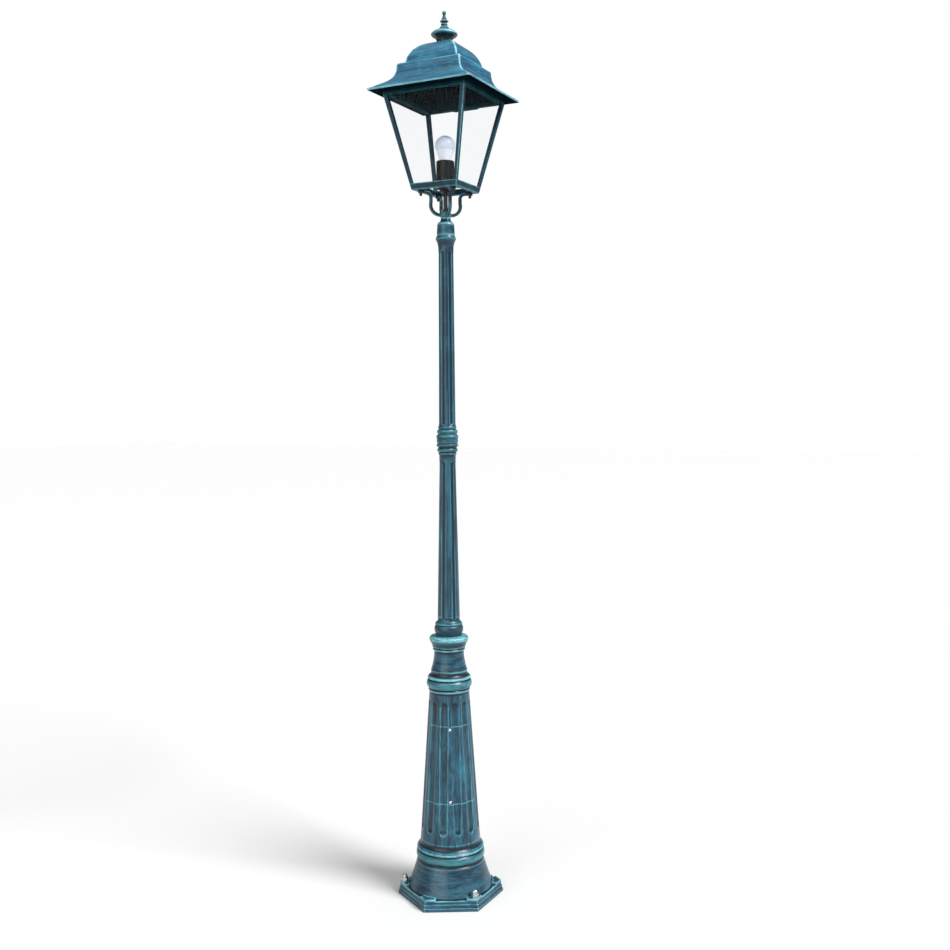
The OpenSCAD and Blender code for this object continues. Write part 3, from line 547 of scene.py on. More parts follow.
def door(material):
    """The access door: a shell of the cone's wall with the same flutes."""
    edge = DOOR_HALF - DOOR_GAP / DOOR_MIDDLE_R
    angles = DOOR_ANGLE + np.linspace(-edge, edge, 97)
    z = np.concatenate([[DOOR_LOW + DOOR_GAP], np.linspace(DOOR_LOW + 2, DOOR_HIGH - 2, 40),
                        [DOOR_HIGH - DOOR_GAP]])[:, None]
    r = cone_r(z)
    faces = []
    for depth in (cone_flutes(angles, z, r), np.full((len(z), len(angles)), float(DOOR_T))):
        skin = turned(np.hstack([r, z]), angles)
        carve(skin, depth, angles)
        skin[..., 2] -= door_tongue(angles, z, r)
        faces.append(skin)
    front, back = faces
    proud = uneven(relief(front, (False, False)), angles, z, 2 * CONE_FLUTES, WEAR_SEED, FLUTE_HIGH)
    ragged = np.random.default_rng(9).random(front.shape[:2])
    for row in (0, -1):
        proud[row] = 0.8 + 1.0 * ragged[row]
    shape = Shape()
    shape.add_grid(front, (False, False), proud)
    shape.add_grid(back[:, ::-1], (False, False), np.zeros(back.shape[:2]))
    rows, cols = front.shape[:2]
    shape.bridge(border(rows, 2 * rows - 1, cols - 1, 0, cols), border(0, rows - 1, 0, cols - 1, cols))
    place(shape, "door_shell", "access_door", material)


# ---------- poles ----------

def fluted_shaft(name, node, materials, parts, inner, z0, z1):
    """A pole: its outline, six flutes between two heights, and its bore.

    The second of its materials is for the rings above and below the flutes.
    """
    wall = np.concatenate([soften(fill_in(part, 6)) for part in parts])
    angles = circle_columns(216)
    r, z = wall[:, :1], wall[:, 1:]
    body = turned(wall, angles)
    depth = flute_depth(angles, z, r, SHAFT_FLUTES, start=TURN, cutter=10, depth=2, z0=z0, z1=z1)
    carve(body, depth, angles)
    grid = np.concatenate([body, turned(np.array(inner, float), angles)])
    proud = relief(grid, reach=(4.0, 2.2))
    fluted = (z[:, 0] > z0) & (z[:, 0] < z1)
    rows = np.flatnonzero(fluted)
    proud[rows] = uneven(2.4 * proud[rows], angles, z[rows], 2 * SHAFT_FLUTES, seed=9,
                         arch_z=z1 - 8)
    proud[np.flatnonzero(~fluted)] *= 0.45
    shape = Shape()
    shape.add_grid(grid, proud=proud)
    place(shape, name, node, *materials, choose=lambda z, _: not z0 - 2 < z < z1 + 7)


def lower_shaft(*materials):
    """The lower pole: moulded foot, long fluted taper and the collar of the joint."""
    foot = outline(
        (40, BASE_TOP), (41.2, 819), moulding(41.4, 822, 846, 3.2, 14), (40, 846.6),
        moulding(40, 847, 854, 1.9, 8), bow((38.6, 855), (34.6, 872), -2.6, 8))
    shaft = taper([(34.6, 872), (34.2, 892), (25.42, 1332), (25, 1353)], (1.5, 8, 1.5))
    collar = outline(
        (25.4, 1369), moulding(26, 1370, 1377, 2.0, 8), (27.6, 1378),
        moulding(28.4, 1379, 1389, 3.1, 10), (28.6, 1391.5), moulding(28.8, 1394, 1404, 4.7, 10),
        (32.2, 1405.6), (32.2, 1419.6), (34, 1425), (33.2, 1427.5), (28.6, JOINT_Z))
    bore = [(21.2, JOINT_Z), (21.2, 1363), (20.4, 1350), (29.6, 872), (27, 860),
            (27, low("lower_pole")), (33, low("lower_pole")), (33, BASE_TOP)]
    fluted_shaft("lower_shaft", "lower_pole", materials, [foot, shaft, collar], bore, 867, 1349)


def upper_shaft(*materials):
    """The upper pole, from the joint to the flare under the cap."""
    top = high("upper_pole")
    foot = outline(
        (28.6, JOINT_Z), moulding(28.6, 1434, 1446, 3.0, 12), (26.6, 1447),
        moulding(26.4, 1448, 1457, 1.5, 8), (25.8, 1459))
    shaft = taper([(25.8, 1460), (25.7, 1482), (23.05, 1964), (22.9, 1988)], (1.5, 8, 1.5))
    crown = outline(
        bow((22.9, 1990), (28.2, 2013.6), -1.5, 10), moulding(28.2, 2014.4, 2025.6, 2.4, 12), (27, top))
    bore = [(17, top), (17, low("upper_pole")), (21, low("upper_pole")), (21, JOINT_Z)]
    fluted_shaft("upper_shaft", "upper_pole", materials, [foot, shaft, crown], bore, 1461, 1983)


def cap_cup(material):
    """The cup on top of the upper pole."""
    top = high("pole_cap")
    wall = outline(
        (16.8, low("pole_cap")), (16.8, 2029.2), (26.2, 2029.2), (27.1, 2030.2), (26.8, 2041),
        (25.6, 2059), bow((25.6, 2059), (20, 2070), 1.8, 8), bow((20, 2070), (15, 2080), -1.6, 6),
        (15, top), (6.7, top), (6.7, 2062), (12.5, 2062), (12.5, low("pole_cap")))
    shape = Shape()
    shape.add_grid(turned(soften(fill_in(wall, 5), 0.5, closed=True), circle_columns(96)))
    place(shape, "cap_cup", "pole_cap", material)


# ---------- lantern support ----------

def spider(material):
    """Four curved arms on a hub: each arm is a rounded bar carried along a bowl and a flare."""
    hub_low = low("lantern_spider")
    seat = high("lantern_spider")
    hub = outline((6.7, hub_low), (14.2, hub_low), (15.4, hub_low + 1), (18, 2087.4), (18.2, 2090),
                  (17.4, 2094), (14, 2099.4), (12.6, 2100), (6.7, 2100))
    shape = Shape()
    shape.add_grid(turned(soften(hub, 0.5, closed=True), circle_columns(72)))
    centre = np.array(outline(
        (9, 2090.6), bow((17.6, 2090.6), (45.5, 2127), 11.6, 14), (45.6, 2132),
        bow((45.6, 2136), (60, 2155.4), -5.6, 10), (72, 2156.4), (84, 2156.6)))
    centre = fill_in(centre, 4)
    depth = np.interp(np.arange(len(centre)), [0, 4, len(centre) * 0.6, len(centre) - 1],
                      [5.4, 4.8, 4.5, 3.8])
    ahead = unit(np.gradient(centre, axis=0))
    square = square_loop(1, 0.34, 3, 3)
    pad = outline((0.4, seat - 8), (7, seat - 8), (8, seat - 7), (8, seat - 0.6), (7.4, seat),
                  (0.4, seat))
    for k in range(4):
        a = math.pi / 4 + k * math.pi / 2
        out, side = np.array([math.cos(a), math.sin(a), 0]), np.array([-math.sin(a), math.cos(a), 0])
        rows = []
        for (r, z), (dr, dz), half in zip(centre, ahead, depth):
            across = out * dz - np.array([0, 0, dr])
            middle = out * r + np.array([0, 0, z])
            rows.append([middle + across * half * u + side * 5 * v for u, v in square])
        shape.add_rod(np.array(rows), reach=(6, 2))
        disc = turned(pad, circle_columns(32)) + out * PAD_OUT
        shape.add_grid(disc, proud=np.zeros(disc.shape[:2]))
    place(shape, "spider_arms", "lantern_spider", material)


# ---------- lantern body ----------

def half_at(z):
    """Half the lantern's outer width at a height."""
    return SILL_HALF + (HEAD_HALF - SILL_HALF) * (z - SILL_Z) / (HEAD_Z - SILL_Z)


def sill_frame(material):
    """The bottom frame: a leaning ring with a groove for the panes, and gussets for the screws."""
    base = low("bottom_frame")
    ring = np.array([
        (FOOT_HALF + 0.2, base + 1.2), (SILL_HALF - 0.2, SILL_Z - 1.2), (SILL_HALF - 1.4, SILL_Z),
        (SILL_HALF - 4, SILL_Z), (SILL_HALF - 4.8, SILL_Z - 4), (SILL_HALF - 8.2, SILL_Z - 4),
        (SILL_HALF - 7.4, SILL_Z), (FOOT_HALF - 10, SILL_Z), (FOOT_HALF - 10, base),
        (FOOT_HALF - 1.2, base)])
    shape = Shape()
    shape.add_square_ring(ring)
    inner, outer, half = 66, 92, 36
    plan = [(inner, -half), (outer, outer - inner - half), (outer, half - outer + inner), (inner, half)]
    for k in range(4):
        a = math.pi / 4 + k * math.pi / 2
        points = [(*spun(r, w, a), z) for z in (base + 0.2, base + 4.6) for r, w in plan]
        shape.add(points, [(3, 2, 1, 0), (4, 5, 6, 7), (0, 1, 5, 4), (1, 2, 6, 5), (2, 3, 7, 6),
                           (3, 0, 4, 7)])
    place(shape, "sill_frame", "bottom_frame", material)


def corner_bar(name, node, quarter, material):
    """One leaning post: a square bar with softened edges and a worn outer arris."""
    rows = []
    for z in np.linspace(SILL_Z, HEAD_Z, 30):
        share = (z - SILL_Z) / (HEAD_Z - SILL_Z)
        width = 10.5 + 2.5 * share
        outer = half_at(z)
        loop = square_loop(width / 2, 1.3, 4, 4) + outer - width / 2
        rows.append(np.column_stack([loop, np.full(len(loop), z)]))
    grid = np.array(rows)
    proud = relief(grid, (False, True), reach=(4, 2.5), round_plan=False)
    arris = np.hypot(grid[..., 0] - half_at(grid[..., 2]), grid[..., 1] - half_at(grid[..., 2]))
    proud = np.clip(proud, 0, 0.3) + np.clip(1.5 - arris / 2.2, 0, 1.2)
    turn = Matrix.Rotation(quarter * math.pi / 2, 3, "Z")
    grid = grid @ np.array(turn).T
    shape = Shape()
    shape.add_rod(grid, proud=proud)
    place(shape, name, node, material)


def head_frame(material):
    """The top frame, grooved for the panes, with the middle knuckle of the roof's hinge."""
    ring = np.array([
        (HEAD_HALF, HEAD_Z + 1.2), (HEAD_HALF, SEAT_Z - 1), (HEAD_HALF - 1, SEAT_Z),
        (HEAD_HALF - 13, SEAT_Z), (HEAD_HALF - 14, SEAT_Z - 1), (HEAD_HALF - 14, HEAD_Z + 1),
        (HEAD_HALF - 13, HEAD_Z), (HEAD_HALF - 7.6, HEAD_Z), (HEAD_HALF - 7.6, HEAD_Z + 3.6),
        (HEAD_HALF - 3.8, HEAD_Z + 3.6), (HEAD_HALF - 3.8, HEAD_Z), (HEAD_HALF - 1.2, HEAD_Z)])
    shape = Shape()
    shape.add_square_ring(ring)
    shape.add_block((-KNUCKLE_HALF, HEAD_HALF - 1, PIN_Z - KNUCKLE_R),
                    (2 * KNUCKLE_HALF, PIN_Y - HEAD_HALF + 1, 2 * KNUCKLE_R))
    shape.add_barrel((0, PIN_Y, PIN_Z), KNUCKLE_R, 2 * KNUCKLE_HALF)
    place(shape, "head_frame", "top_frame", material)


# ---------- roof ----------

def curve_through(points, steps=5):
    """A smooth line through points (Catmull-Rom)."""
    p = [np.array(points[0], float) * 2 - points[1]] + [np.array(q, float) for q in points]
    p.append(p[-1] * 2 - p[-2])
    line = []
    for i in range(1, len(p) - 2):
        for t in np.linspace(0, 1, steps, endpoint=False):
            line.append(0.5 * (2 * p[i] + (p[i + 1] - p[i - 1]) * t
                               + (2 * p[i - 1] - 5 * p[i] + 4 * p[i + 1] - p[i + 2]) * t ** 2
                               + (3 * p[i] - p[i - 1] - 3 * p[i + 1] + p[i + 2]) * t ** 3))
    return line + [p[-2]]


def worn_hips(proud, per_side, per_corner=4):
    """Paint is rubbed most along the four hips, and less along the level edges."""
    column = np.arange(proud.shape[1]) % (per_side + per_corner)
    on_hip = (column >= per_side) | (column == 0)
    return np.where(on_hip, proud + 0.3, np.where(proud > 0, proud * 0.35, proud))


def roof_sweep(material, inside_painted_shade):
    """The swept lower part of the roof, with the seat, ribs and hinge lugs inside it."""
    eave = [(EAVE_HALF, SEAT_Z + 5), (158, 2451.4)]
    sweep = curve_through(eave + SKIRT_LINE)
    outer = outline((EAVE_HALF - 1.6, SEAT_Z), (EAVE_HALF, SEAT_Z + 1.2), sweep,
                    (103.6, ROOF_TOP - 1.4), (102, ROOF_TOP), (78, ROOF_TOP), (76, ROOF_TOP))
    under = [(half - SKIRT_WALL, z - SKIRT_WALL) for half, z in sweep[::-1]]
    inner = outline((76, ROOF_TOP - 5), (101, ROOF_TOP - 5), under[:-1],
                    (EAVE_HALF - 3, SEAT_Z + 1.6), (EAVE_HALF - 3, SEAT_Z))
    outside = fill_in(outer, 5)
    grid = squared(np.concatenate([outside, fill_in(inner, 5)]), corner=1.6, per_side=48)
    proud = worn_hips(relief(grid, round_plan=False, reach=(5, 4)), 48)
    # painted shade: the inside of the sweep gets negative relief, which darkens it near black
    proud[len(outside):] = -0.6
    shape = Shape()
    shape.add_grid(grid, proud=proud)
    # seat on the top frame, with painted shade (negative relief)
    seat = squared([(131, SEAT_Z + 0.2), (131, 2465.5), (123, 2470.5), (123, SEAT_Z + 0.2)])
    shape.add_grid(seat, proud=np.full(seat.shape[:2], -0.3))
    # ribs up the inside of the seat and the sweep
    above = np.array(SKIRT_LINE[2:])
    section = np.concatenate([[(119, 2443), (123.5, 2443), (123.5, 2469)], above - 2.2,
                              (above - 6.7)[::-1], [(119, 2464.5)]])
    for quarter in range(4):
        a = quarter * math.pi / 2
        for y in range(RIB_ENDS[0], RIB_ENDS[1] + 1, RIB_PITCH):
            rows = [[(*spun(h, w, a), z) for h, z in section] for w in (y + 1.2, y - 1.2)]
            shape.add_rod(np.array(rows), proud=np.full((2, len(section)), 0.25))
    # hinge lugs
    for x in (-2 * KNUCKLE_HALF, KNUCKLE_HALF + 0.6):
        shape.add_block((x, PIN_Y - KNUCKLE_R, PIN_Z), (LUG_LENGTH, 2 * KNUCKLE_R, 24))
        shape.add_barrel((x + LUG_LENGTH / 2, PIN_Y, PIN_Z), KNUCKLE_R, LUG_LENGTH)
    # faces after the outside's (the inside, seat, ribs and lugs) take the painted-shade material
    outer_faces = (len(outside) - 1) * grid.shape[1]
    place(shape, "roof_sweep", "roof_skirt", material, inside_painted_shade,
          choose=lambda _, index: index >= outer_faces)


def arc(centre, radius, start, end, steps):
    """Points on a circle between two angles in degrees."""
    return [np.array((centre[0] + radius * math.cos(a), centre[1] + radius * math.sin(a)))
            for a in np.radians(np.linspace(start, end, steps))]


def roof_crown(material):
    """The dome: four curved sides that meet in hips, and a flat top."""
    foot, top = low("roof_dome"), high("roof_dome")
    half = high("roof_dome", 0)
    outer = outline((half, foot), (half, 2526), arc(SHOULDER, 74.3, 4, 75.5, 22), (26, top),
                    (3.4, top))
    inner = outline((3.4, top - 4.2), arc(SHOULDER, 70.5, 74, 4, 12), (half - 4, 2526),
                    (half - 4, foot))
    outside = squared(soften(fill_in(outer, 4), 0.7), corner=2.0)
    inside = squared(inner, corner=2.0)
    grid = np.concatenate([outside, inside])
    proud = worn_hips(relief(grid, round_plan=False, reach=(5, 4)), 40)
    # painted shade: the dome's inside gets negative relief, which darkens it near black
    proud[len(outside):] = -0.6
    shape = Shape()
    shape.add_grid(grid, proud=proud)
    place(shape, "roof_crown", "roof_dome", material)


def vent_hat(material, underside_painted_shade):
    """The turned cap over the vent: its neck is hollow, with eight air slots."""
    foot, top = low("vent_cap"), high("vent_cap")
    slot_low, slot_high = 2597.5, 2603.5
    rim_z = 2622
    neck = [(3.3, foot + 12), (21.5, foot + 12), (21.5, slot_high), (21.5, slot_low), (21.5, foot),
            (24.4, foot), (24.6, foot + 0.6), (23.6, slot_low), (23.4, slot_high), (23.6, 2605)]
    brim = outline(
        bow((23.6, 2605), (38, 2618), -1.8, 6)[1:], (39.4, 2620), (39.7, 2621.4), (39.2, 2624),
        bow((38.6, 2625), (22, 2634), 1.4, 6), bow((22, 2634), (13, top), -0.8, 5), (3.3, top))
    angles = circle_columns(120)
    grid = turned(np.concatenate([neck, soften(fill_in(brim, 4), 0.5)]), angles)
    inner, outer = 2, 7                     # the rows that the slots are cut in
    pitch, slot = 15, (5, 10)               # columns from slot to slot, and of the first one
    shape = Shape()
    shape.add_grid(grid, skip=lambda i, j: i in (inner, outer) and slot[0] <= j % pitch < slot[1])
    for first in range(0, len(angles), pitch):
        sides = (first + slot[0], first + slot[1], len(angles))
        shape.bridge(border(outer, outer + 1, *sides), border(inner + 1, inner, *sides))
    # painted shade: the neck and the brim's underside, below the rim, take the dark paint
    place(shape, "vent_hat", "vent_cap", material, underside_painted_shade, choose=lambda z, _: z < rim_z)


def finial_turned(material):
    """The finial, which ends in a small knob."""
    foot, top = low("finial"), high("finial")
    knob = arc((0, top - 5.4), 6, -48, 60, 10)
    wall = outline(
        (3.2, foot + 18), (3.2, foot), (13, foot), (13.5, foot + 0.6), (13.5, foot + 2),
        bow((12.6, foot + 2.8), (9, foot + 7.4), -0.9, 5),
        moulding(8.2, 2649.8, 2653.4, 1.8, 8), bow((8, 2654), (10.4, 2658.4), -0.8, 4),
        moulding(11.4, 2658.8, 2662.4, 1.6, 8), bow((10.6, 2663), (4, 2679.6), -1.6, 8), knob,
        (1.4, top - 0.1), (0.02, top))
    shape = Shape()
    shape.add_grid(turned(fill_in(wall, 3), circle_columns(64)), (False, True), reach=(2.5, 2.5))
    place(shape, "finial_turned", "finial", material)


# ---------- materials ----------

class Nodes:
    """One material's node tree, with a short call for each kind of node."""

    def __init__(self, name):
        self.material = bpy.data.materials.new(name)
        self.material.use_nodes = True
        self.tree = self.material.node_tree
        self.shader = self.tree.nodes["Principled BSDF"]

    def add(self, kind, **settings):
        node = self.tree.nodes.new(kind)
        for key, value in settings.items():
            setattr(node, key, value)
        return node

    def link(self, source, target):
        self.tree.links.new(source, target)

    def set(self, **values):
        for key, value in values.items():
            self.shader.inputs[key.replace("_", " ")].default_value = value

    def noise(self, scale, detail=4.0, roughness=0.6, distortion=0.0):
        """Noise in object coordinates, with so many lumps a metre along each axis."""
        stretch = self.add("ShaderNodeMapping")
        stretch.inputs["Scale"].default_value = scale
        self.link(self.add("ShaderNodeTexCoord").outputs["Object"], stretch.inputs["Vector"])
        node = self.add("ShaderNodeTexNoise")
        node.inputs["Scale"].default_value = 1.0
        node.inputs["Detail"].default_value = detail
        node.inputs["Roughness"].default_value = roughness
        node.inputs["Distortion"].default_value = distortion
        self.link(stretch.outputs["Vector"], node.inputs["Vector"])
        return node.outputs["Fac"]

    def spread(self, value, start, end, to_start=0.0, to_end=1.0, smooth=True):
        """Maps a value's stretch from start to end on to another."""
        node = self.add("ShaderNodeMapRange")
        node.interpolation_type = "SMOOTHSTEP" if smooth else "LINEAR"
        for key, number in (("From Min", start), ("From Max", end), ("To Min", to_start),
                            ("To Max", to_end)):
            node.inputs[key].default_value = number
        self.link(value, node.inputs["Value"])
        return node.outputs["Result"]

    def put(self, socket, value):
        """Gives a socket a number, a colour or the output of another node."""
        if isinstance(value, tuple):
            socket.default_value = (*value, 1)
        elif isinstance(value, (int, float)):
            socket.default_value = value
        else:
            self.link(value, socket)

    def math(self, operation, a, b):
        node = self.add("ShaderNodeMath", operation=operation)
        self.put(node.inputs[0], a)
        self.put(node.inputs[1], b)
        return node.outputs[0]

    def mix(self, share, a, b):
        node = self.add("ShaderNodeMix", data_type="RGBA")
        self.put(node.inputs[0], share)
        self.put(node.inputs[6], a)
        self.put(node.inputs[7], b)
        return node.outputs[2]

    def bump(self, height, strength, distance):
        node = self.add("ShaderNodeBump")
        node.inputs["Strength"].default_value = strength
        node.inputs["Distance"].default_value = distance
        self.link(height, node.inputs["Height"])
        self.link(node.outputs["Normal"], self.shader.inputs["Normal"])


NAVY = (0.005, 0.020, 0.036)
TEAL = (0.012, 0.078, 0.124)
SEA = (0.040, 0.215, 0.270)
VERDIGRIS = (0.17, 0.52, 0.56)


def antique_paint(name, stroke, dark=NAVY, body=TEAL, light=SEA, worn=VERDIGRIS, cover=0.5,
                  gloss=1.0):
    """Dark blue-teal paint, dry-brushed with lighter teal along one direction.

    stroke scales the marks along each axis: a mark is long where the number is small. The relief of
    the mesh says which edges are rubbed light, and which hollows get painted shade near black.
    """
    n = Nodes(name)
    proud = n.add("ShaderNodeAttribute", attribute_name="relief").outputs["Fac"]
    swell = n.spread(proud, 0.10, 0.60)
    ridge = n.spread(proud, 0.60, 1.30)
    groove = n.spread(proud, -0.7, -0.08, 1.0, 0.0)
    # marks of single bristles, of whole strokes, and hand-sized patches
    bristle = n.noise(tuple(420 * s for s in stroke), detail=3.0, roughness=0.65)
    sweep = n.noise(tuple(95 * s for s in stroke), detail=4.0, roughness=0.6, distortion=0.4)
    patch = n.noise((14, 14, 14), detail=3.0)
    layer = n.math("ADD", n.math("MULTIPLY", sweep, 0.62), n.math("MULTIPLY", bristle, 0.38))
    coat = n.spread(n.math("ADD", layer, n.math("MULTIPLY", patch, 0.25)), 0.52, 0.71)
    colour = n.mix(coat, dark, body)
    dry = n.spread(n.math("ADD", n.math("MULTIPLY", bristle, 0.55),
                          n.math("MULTIPLY", patch, 0.5)), 0.72 - 0.3 * cover, 0.95 - 0.3 * cover)
    colour = n.mix(n.math("MULTIPLY", dry, 0.6), colour, light)
    rub = n.spread(n.math("ADD", bristle, n.math("MULTIPLY", sweep, 0.7)), 0.55, 1.05)
    colour = n.mix(n.math("MULTIPLY", swell, n.math("ADD", n.math("MULTIPLY", rub, 0.75), 0.05)),
                   colour, light)
    colour = n.mix(n.math("MULTIPLY", ridge, n.math("ADD", n.math("MULTIPLY", rub, 0.5), 0.04)),
                   colour, worn)
    # painted shade: grooves, hollows and faces given negative relief are darkened towards black
    colour = n.mix(n.math("MULTIPLY", groove, 0.9), colour, tuple(c * 0.3 for c in dark))
    n.link(colour, n.shader.inputs["Base Color"])
    matt = 0.3 * (1 - gloss)
    rough = n.spread(bristle, 0.3, 0.7, 0.30 + matt, 0.46 + matt, smooth=False)
    n.link(rough, n.shader.inputs["Roughness"])
    n.set(Coat_Weight=0.18 * gloss, Coat_Roughness=0.16, Specular_IOR_Level=0.32 * gloss)
    n.bump(bristle, 0.25, 0.0006)
    return n.material


def plain(name, colour, other, size, roughness, metallic=0.0, bump=0.15, depth=0.0003, **more):
    """A material of two close colours in a fine pattern, with roughness and bump from it."""
    n = Nodes(name)
    pattern = n.noise((size, size, size), detail=5.0)
    n.link(n.mix(n.spread(pattern, 0.35, 0.65), colour, other), n.shader.inputs["Base Color"])
    n.link(n.spread(pattern, 0.3, 0.7, roughness - 0.06, roughness + 0.08, smooth=False),
           n.shader.inputs["Roughness"])
    n.set(Metallic=metallic, **more)
    n.bump(pattern, bump, depth)
    return n.material


def clear_glass():
    """Thin clean panes: light goes straight through, and a little is mirrored, most at the edges."""
    n = Nodes("clear_glass")
    haze = n.noise((9, 9, 9), detail=4.0)
    n.link(n.mix(n.spread(haze, 0.3, 0.7), (0.972, 0.98, 0.985), (0.99, 0.995, 1.0)),
           n.shader.inputs["Base Color"])
    n.link(n.spread(haze, 0.3, 0.7, 0.0, 0.02, smooth=False), n.shader.inputs["Roughness"])
    n.set(Metallic=1.0)
    straight = n.add("ShaderNodeBsdfTransparent")
    straight.inputs["Color"].default_value = (0.985, 0.99, 0.992, 1)
    facing = n.add("ShaderNodeLayerWeight").outputs["Facing"]
    both = n.add("ShaderNodeMixShader")
    n.link(n.spread(facing, 0.4, 1.0, 0.005, 0.07), both.inputs["Fac"])
    n.link(straight.outputs["BSDF"], both.inputs[1])
    n.link(n.shader.outputs["BSDF"], both.inputs[2])
    n.link(both.outputs["Shader"], n.tree.nodes["Material Output"].inputs["Surface"])
    return n.material


LENGTHWAYS = (1, 1, 0.045)      # brush marks run up and down
ROUND = (0.10, 0.10, 1)         # brush marks run round or along level pieces

paint_shaft = antique_paint("paint_shaft", (1, 1, 0.02), body=(0.014, 0.082, 0.128), cover=0.45)
paint_ring = antique_paint("paint_ring", ROUND, body=(0.012, 0.076, 0.114),
                           light=(0.034, 0.195, 0.235), worn=(0.26, 0.64, 0.68), cover=0.4)
paint_base = antique_paint("paint_base", LENGTHWAYS, cover=0.6)
paint_roof = antique_paint("paint_roof", ROUND, dark=(0.008, 0.062, 0.112),
                           body=(0.015, 0.125, 0.215), light=(0.055, 0.310, 0.420),
                           worn=(0.42, 0.74, 0.80), cover=0.6)
paint_bell = antique_paint("paint_bell", ROUND, body=(0.016, 0.070, 0.106), light=(0.045, 0.170, 0.225))
paint_frame = antique_paint("paint_frame", (0.5, 0.5, 0.3), body=(0.005, 0.036, 0.055),
                            light=(0.024, 0.130, 0.170), worn=(0.14, 0.44, 0.48), cover=0.25,
                            gloss=0.7)
# painted shade: a near-black, matt paint for the top frame and the roof's inside, which lie in the
# eave's shadow
painted_shade_paint = antique_paint("painted_shade_paint", (0.3, 0.3, 0.3), dark=(0.004, 0.014, 0.020),
                            body=(0.005, 0.024, 0.032), light=(0.008, 0.045, 0.055),
                            worn=(0.016, 0.085, 0.100), cover=0.1, gloss=0.02)
# dark paint for the spider, also used as painted shade under the vent hat's brim
paint_dark = antique_paint("paint_dark", (0.6, 0.6, 0.6), body=(0.006, 0.030, 0.042),
                           light=(0.018, 0.085, 0.108), worn=(0.08, 0.27, 0.30), cover=0.15)

base_casting(paint_base, paint_bell, paint_ring)
door(paint_base)
lower_shaft(paint_shaft, paint_ring)
upper_shaft(paint_shaft, paint_ring)
cap_cup(paint_ring)
spider(paint_dark)
sill_frame(paint_frame)
for quarter, corner in enumerate(("back_right", "back_left", "front_left", "front_right")):
    corner_bar("bar_" + corner, "corner_post_" + corner, quarter, paint_frame)
# the top frame takes painted shade, as it lies in the eave's shadow
head_frame(painted_shade_paint)
roof_sweep(paint_roof, painted_shade_paint)
roof_crown(paint_roof)
vent_hat(paint_roof, paint_dark)
finial_turned(paint_ring)

FINISH = {
    "bright_steel": plain("bright_steel", (0.40, 0.41, 0.42), (0.58, 0.59, 0.60), 300, 0.24, 1.0),
    "zinc_sheet": plain("zinc_sheet", (0.45, 0.47, 0.49), (0.62, 0.64, 0.66), 60, 0.4, 1.0),
    "dark_steel": plain("dark_steel", (0.008, 0.011, 0.013), (0.022, 0.026, 0.030), 240, 0.45,
                        Specular_IOR_Level=0.3),
    "brass": plain("brass", (0.60, 0.42, 0.16), (0.74, 0.55, 0.25), 200, 0.3, 1.0),
    "terminal_plastic": plain("terminal_plastic", (0.70, 0.67, 0.56), (0.76, 0.73, 0.63), 150, 0.5),
    "clear_glass": clear_glass(),
    "holder_black": plain("holder_black", (0.004, 0.004, 0.005), (0.010, 0.010, 0.011), 260, 0.36,
                          Specular_IOR_Level=0.16),
    "holder_ceramic": plain("holder_ceramic", (0.74, 0.73, 0.69), (0.82, 0.81, 0.78), 90, 0.2),
    "lamp_metal": plain("lamp_metal", (0.6, 0.6, 0.61), (0.72, 0.72, 0.74), 220, 0.3, 1.0),
    "lamp_white": plain("lamp_white", (0.72, 0.75, 0.82), (0.78, 0.80, 0.86), 120, 0.4),
    "lamp_opal": plain("lamp_opal", (0.60, 0.63, 0.74), (0.66, 0.69, 0.79), 60, 0.3,
                       Subsurface_Weight=0.3, Subsurface_Scale=0.01),
    "cable_sheath": plain("cable_sheath", (0.012, 0.012, 0.012), (0.03, 0.03, 0.03), 400, 0.55),
    "dark_paint": paint_dark,
    "antique_paint": paint_frame,
}
for node, piece in frame["nodes"].items():
    piece.data.materials.clear()
    piece.data.materials.append(FINISH[SLOT[node]])

# ---------- stage, lights and camera ----------

VIEW_TURN = math.radians(27.94)     # the camera stands this far round from the lantern's front
EYE = Vector((0.0109, -3.3925, 1.529))      # before that turn
LENS = 42.157
YAW, PITCH, ROLL = 0.0214, 0.0653, 0.0061   # to the right, down and clockwise, in radians


def floor():
    """A wide pale floor."""
    bm = bmesh.new()
    bmesh.ops.create_grid(bm, x_segments=1, y_segments=1, size=30)
    mesh = bpy.data.meshes.new("floor")
    bm.to_mesh(mesh)
    bm.free()
    n = Nodes("floor_pale")
    grain = n.noise((3, 3, 3), detail=2.0)
    n.link(n.mix(grain, (0.58, 0.58, 0.58), (0.5713, 0.5713, 0.5713)), n.shader.inputs["Base Color"])
    n.set(Roughness=0.8)
    mesh.materials.append(n.material)
    new_object("floor", mesh)


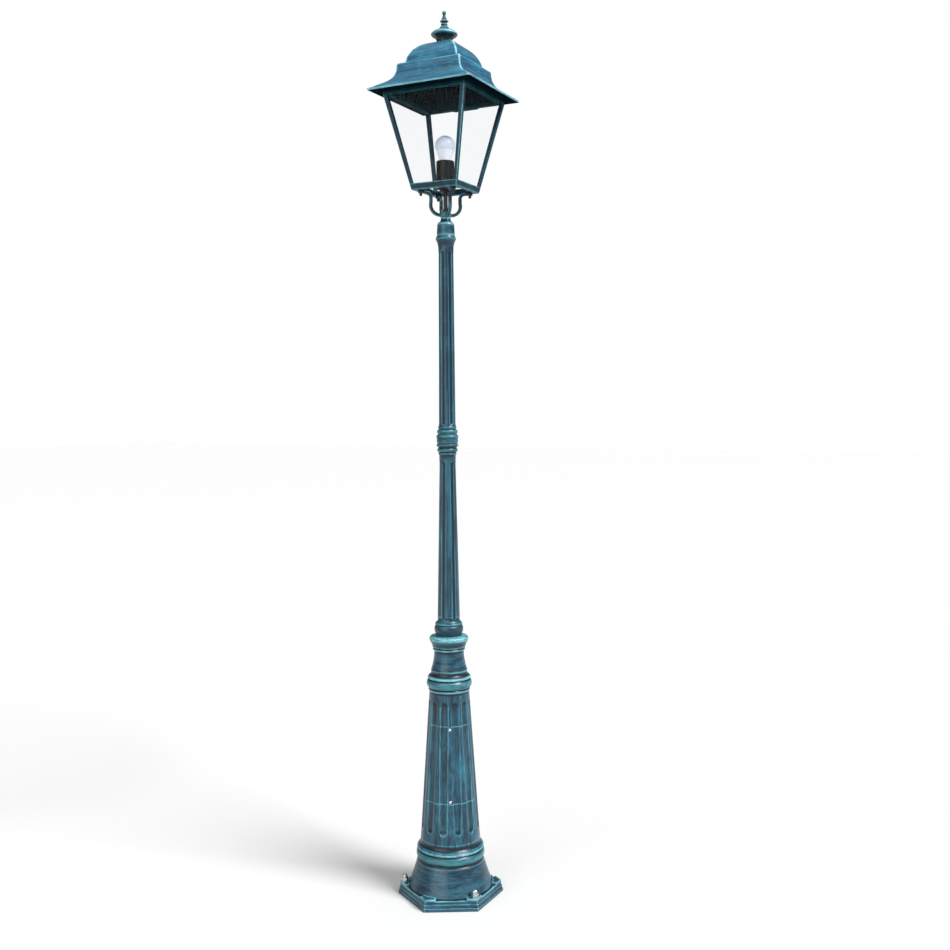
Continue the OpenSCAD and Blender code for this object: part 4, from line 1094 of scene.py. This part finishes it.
def turned_view(direction):
    """A direction given as the camera sees it, as a direction in the frame."""
    return Matrix.Rotation(VIEW_TURN, 3, "Z") @ Vector(direction).normalized()


def sun_light(name, direction, strength, spread):
    """Even light from one direction, with shadows softened by spread in degrees."""
    light = bpy.data.lights.new(name, "SUN")
    light.energy = strength
    light.angle = math.radians(spread)
    lamp = new_object(name, light)
    lamp.rotation_mode = "QUATERNION"
    lamp.rotation_quaternion = turned_view(direction).to_track_quat("Z", "Y")


def world(seen, felt):
    """A white studio: the camera sees it at full strength, and it lights the object softly."""
    made = bpy.data.worlds.new("studio")
    made.use_nodes = True
    tree = made.node_tree
    sky = tree.nodes["Background"]
    sky.inputs["Color"].default_value = (1, 1, 1, 1)
    path = tree.nodes.new("ShaderNodeLightPath")
    either = tree.nodes.new("ShaderNodeMath")
    either.operation = "MAXIMUM"
    tree.links.new(path.outputs["Is Camera Ray"], either.inputs[0])
    tree.links.new(path.outputs["Is Transmission Ray"], either.inputs[1])
    strength = tree.nodes.new("ShaderNodeMapRange")
    strength.inputs["To Min"].default_value = felt
    strength.inputs["To Max"].default_value = seen
    tree.links.new(either.outputs[0], strength.inputs["Value"])
    tree.links.new(strength.outputs["Result"], sky.inputs["Strength"])
    bpy.context.scene.world = made


def camera():
    """The camera at the photograph's angle."""
    made = bpy.data.cameras.new("camera")
    made.lens = LENS
    made.sensor_width = 36
    made.clip_start, made.clip_end = 0.1, 100
    seen = new_object("camera", made)
    facing = (Matrix.Rotation(VIEW_TURN - YAW, 4, "Z") @ Matrix.Rotation(math.pi / 2 - PITCH, 4, "X")
              @ Matrix.Rotation(-ROLL, 4, "Z"))
    seen.matrix_world = Matrix.Translation(Matrix.Rotation(VIEW_TURN, 3, "Z") @ EYE) @ facing
    bpy.context.scene.camera = seen


floor()
world(1.0, 0.24)
sun_light("key", (0.95, -0.66, 1.15), 4.6, 24)
sun_light("fill", (-0.7, -1.0, 0.35), 1.5, 50)
sun_light("top", (0.1, -0.2, 1.0), 1.2, 90)
camera()
bpy.context.scene.view_settings.view_transform = "Standard"
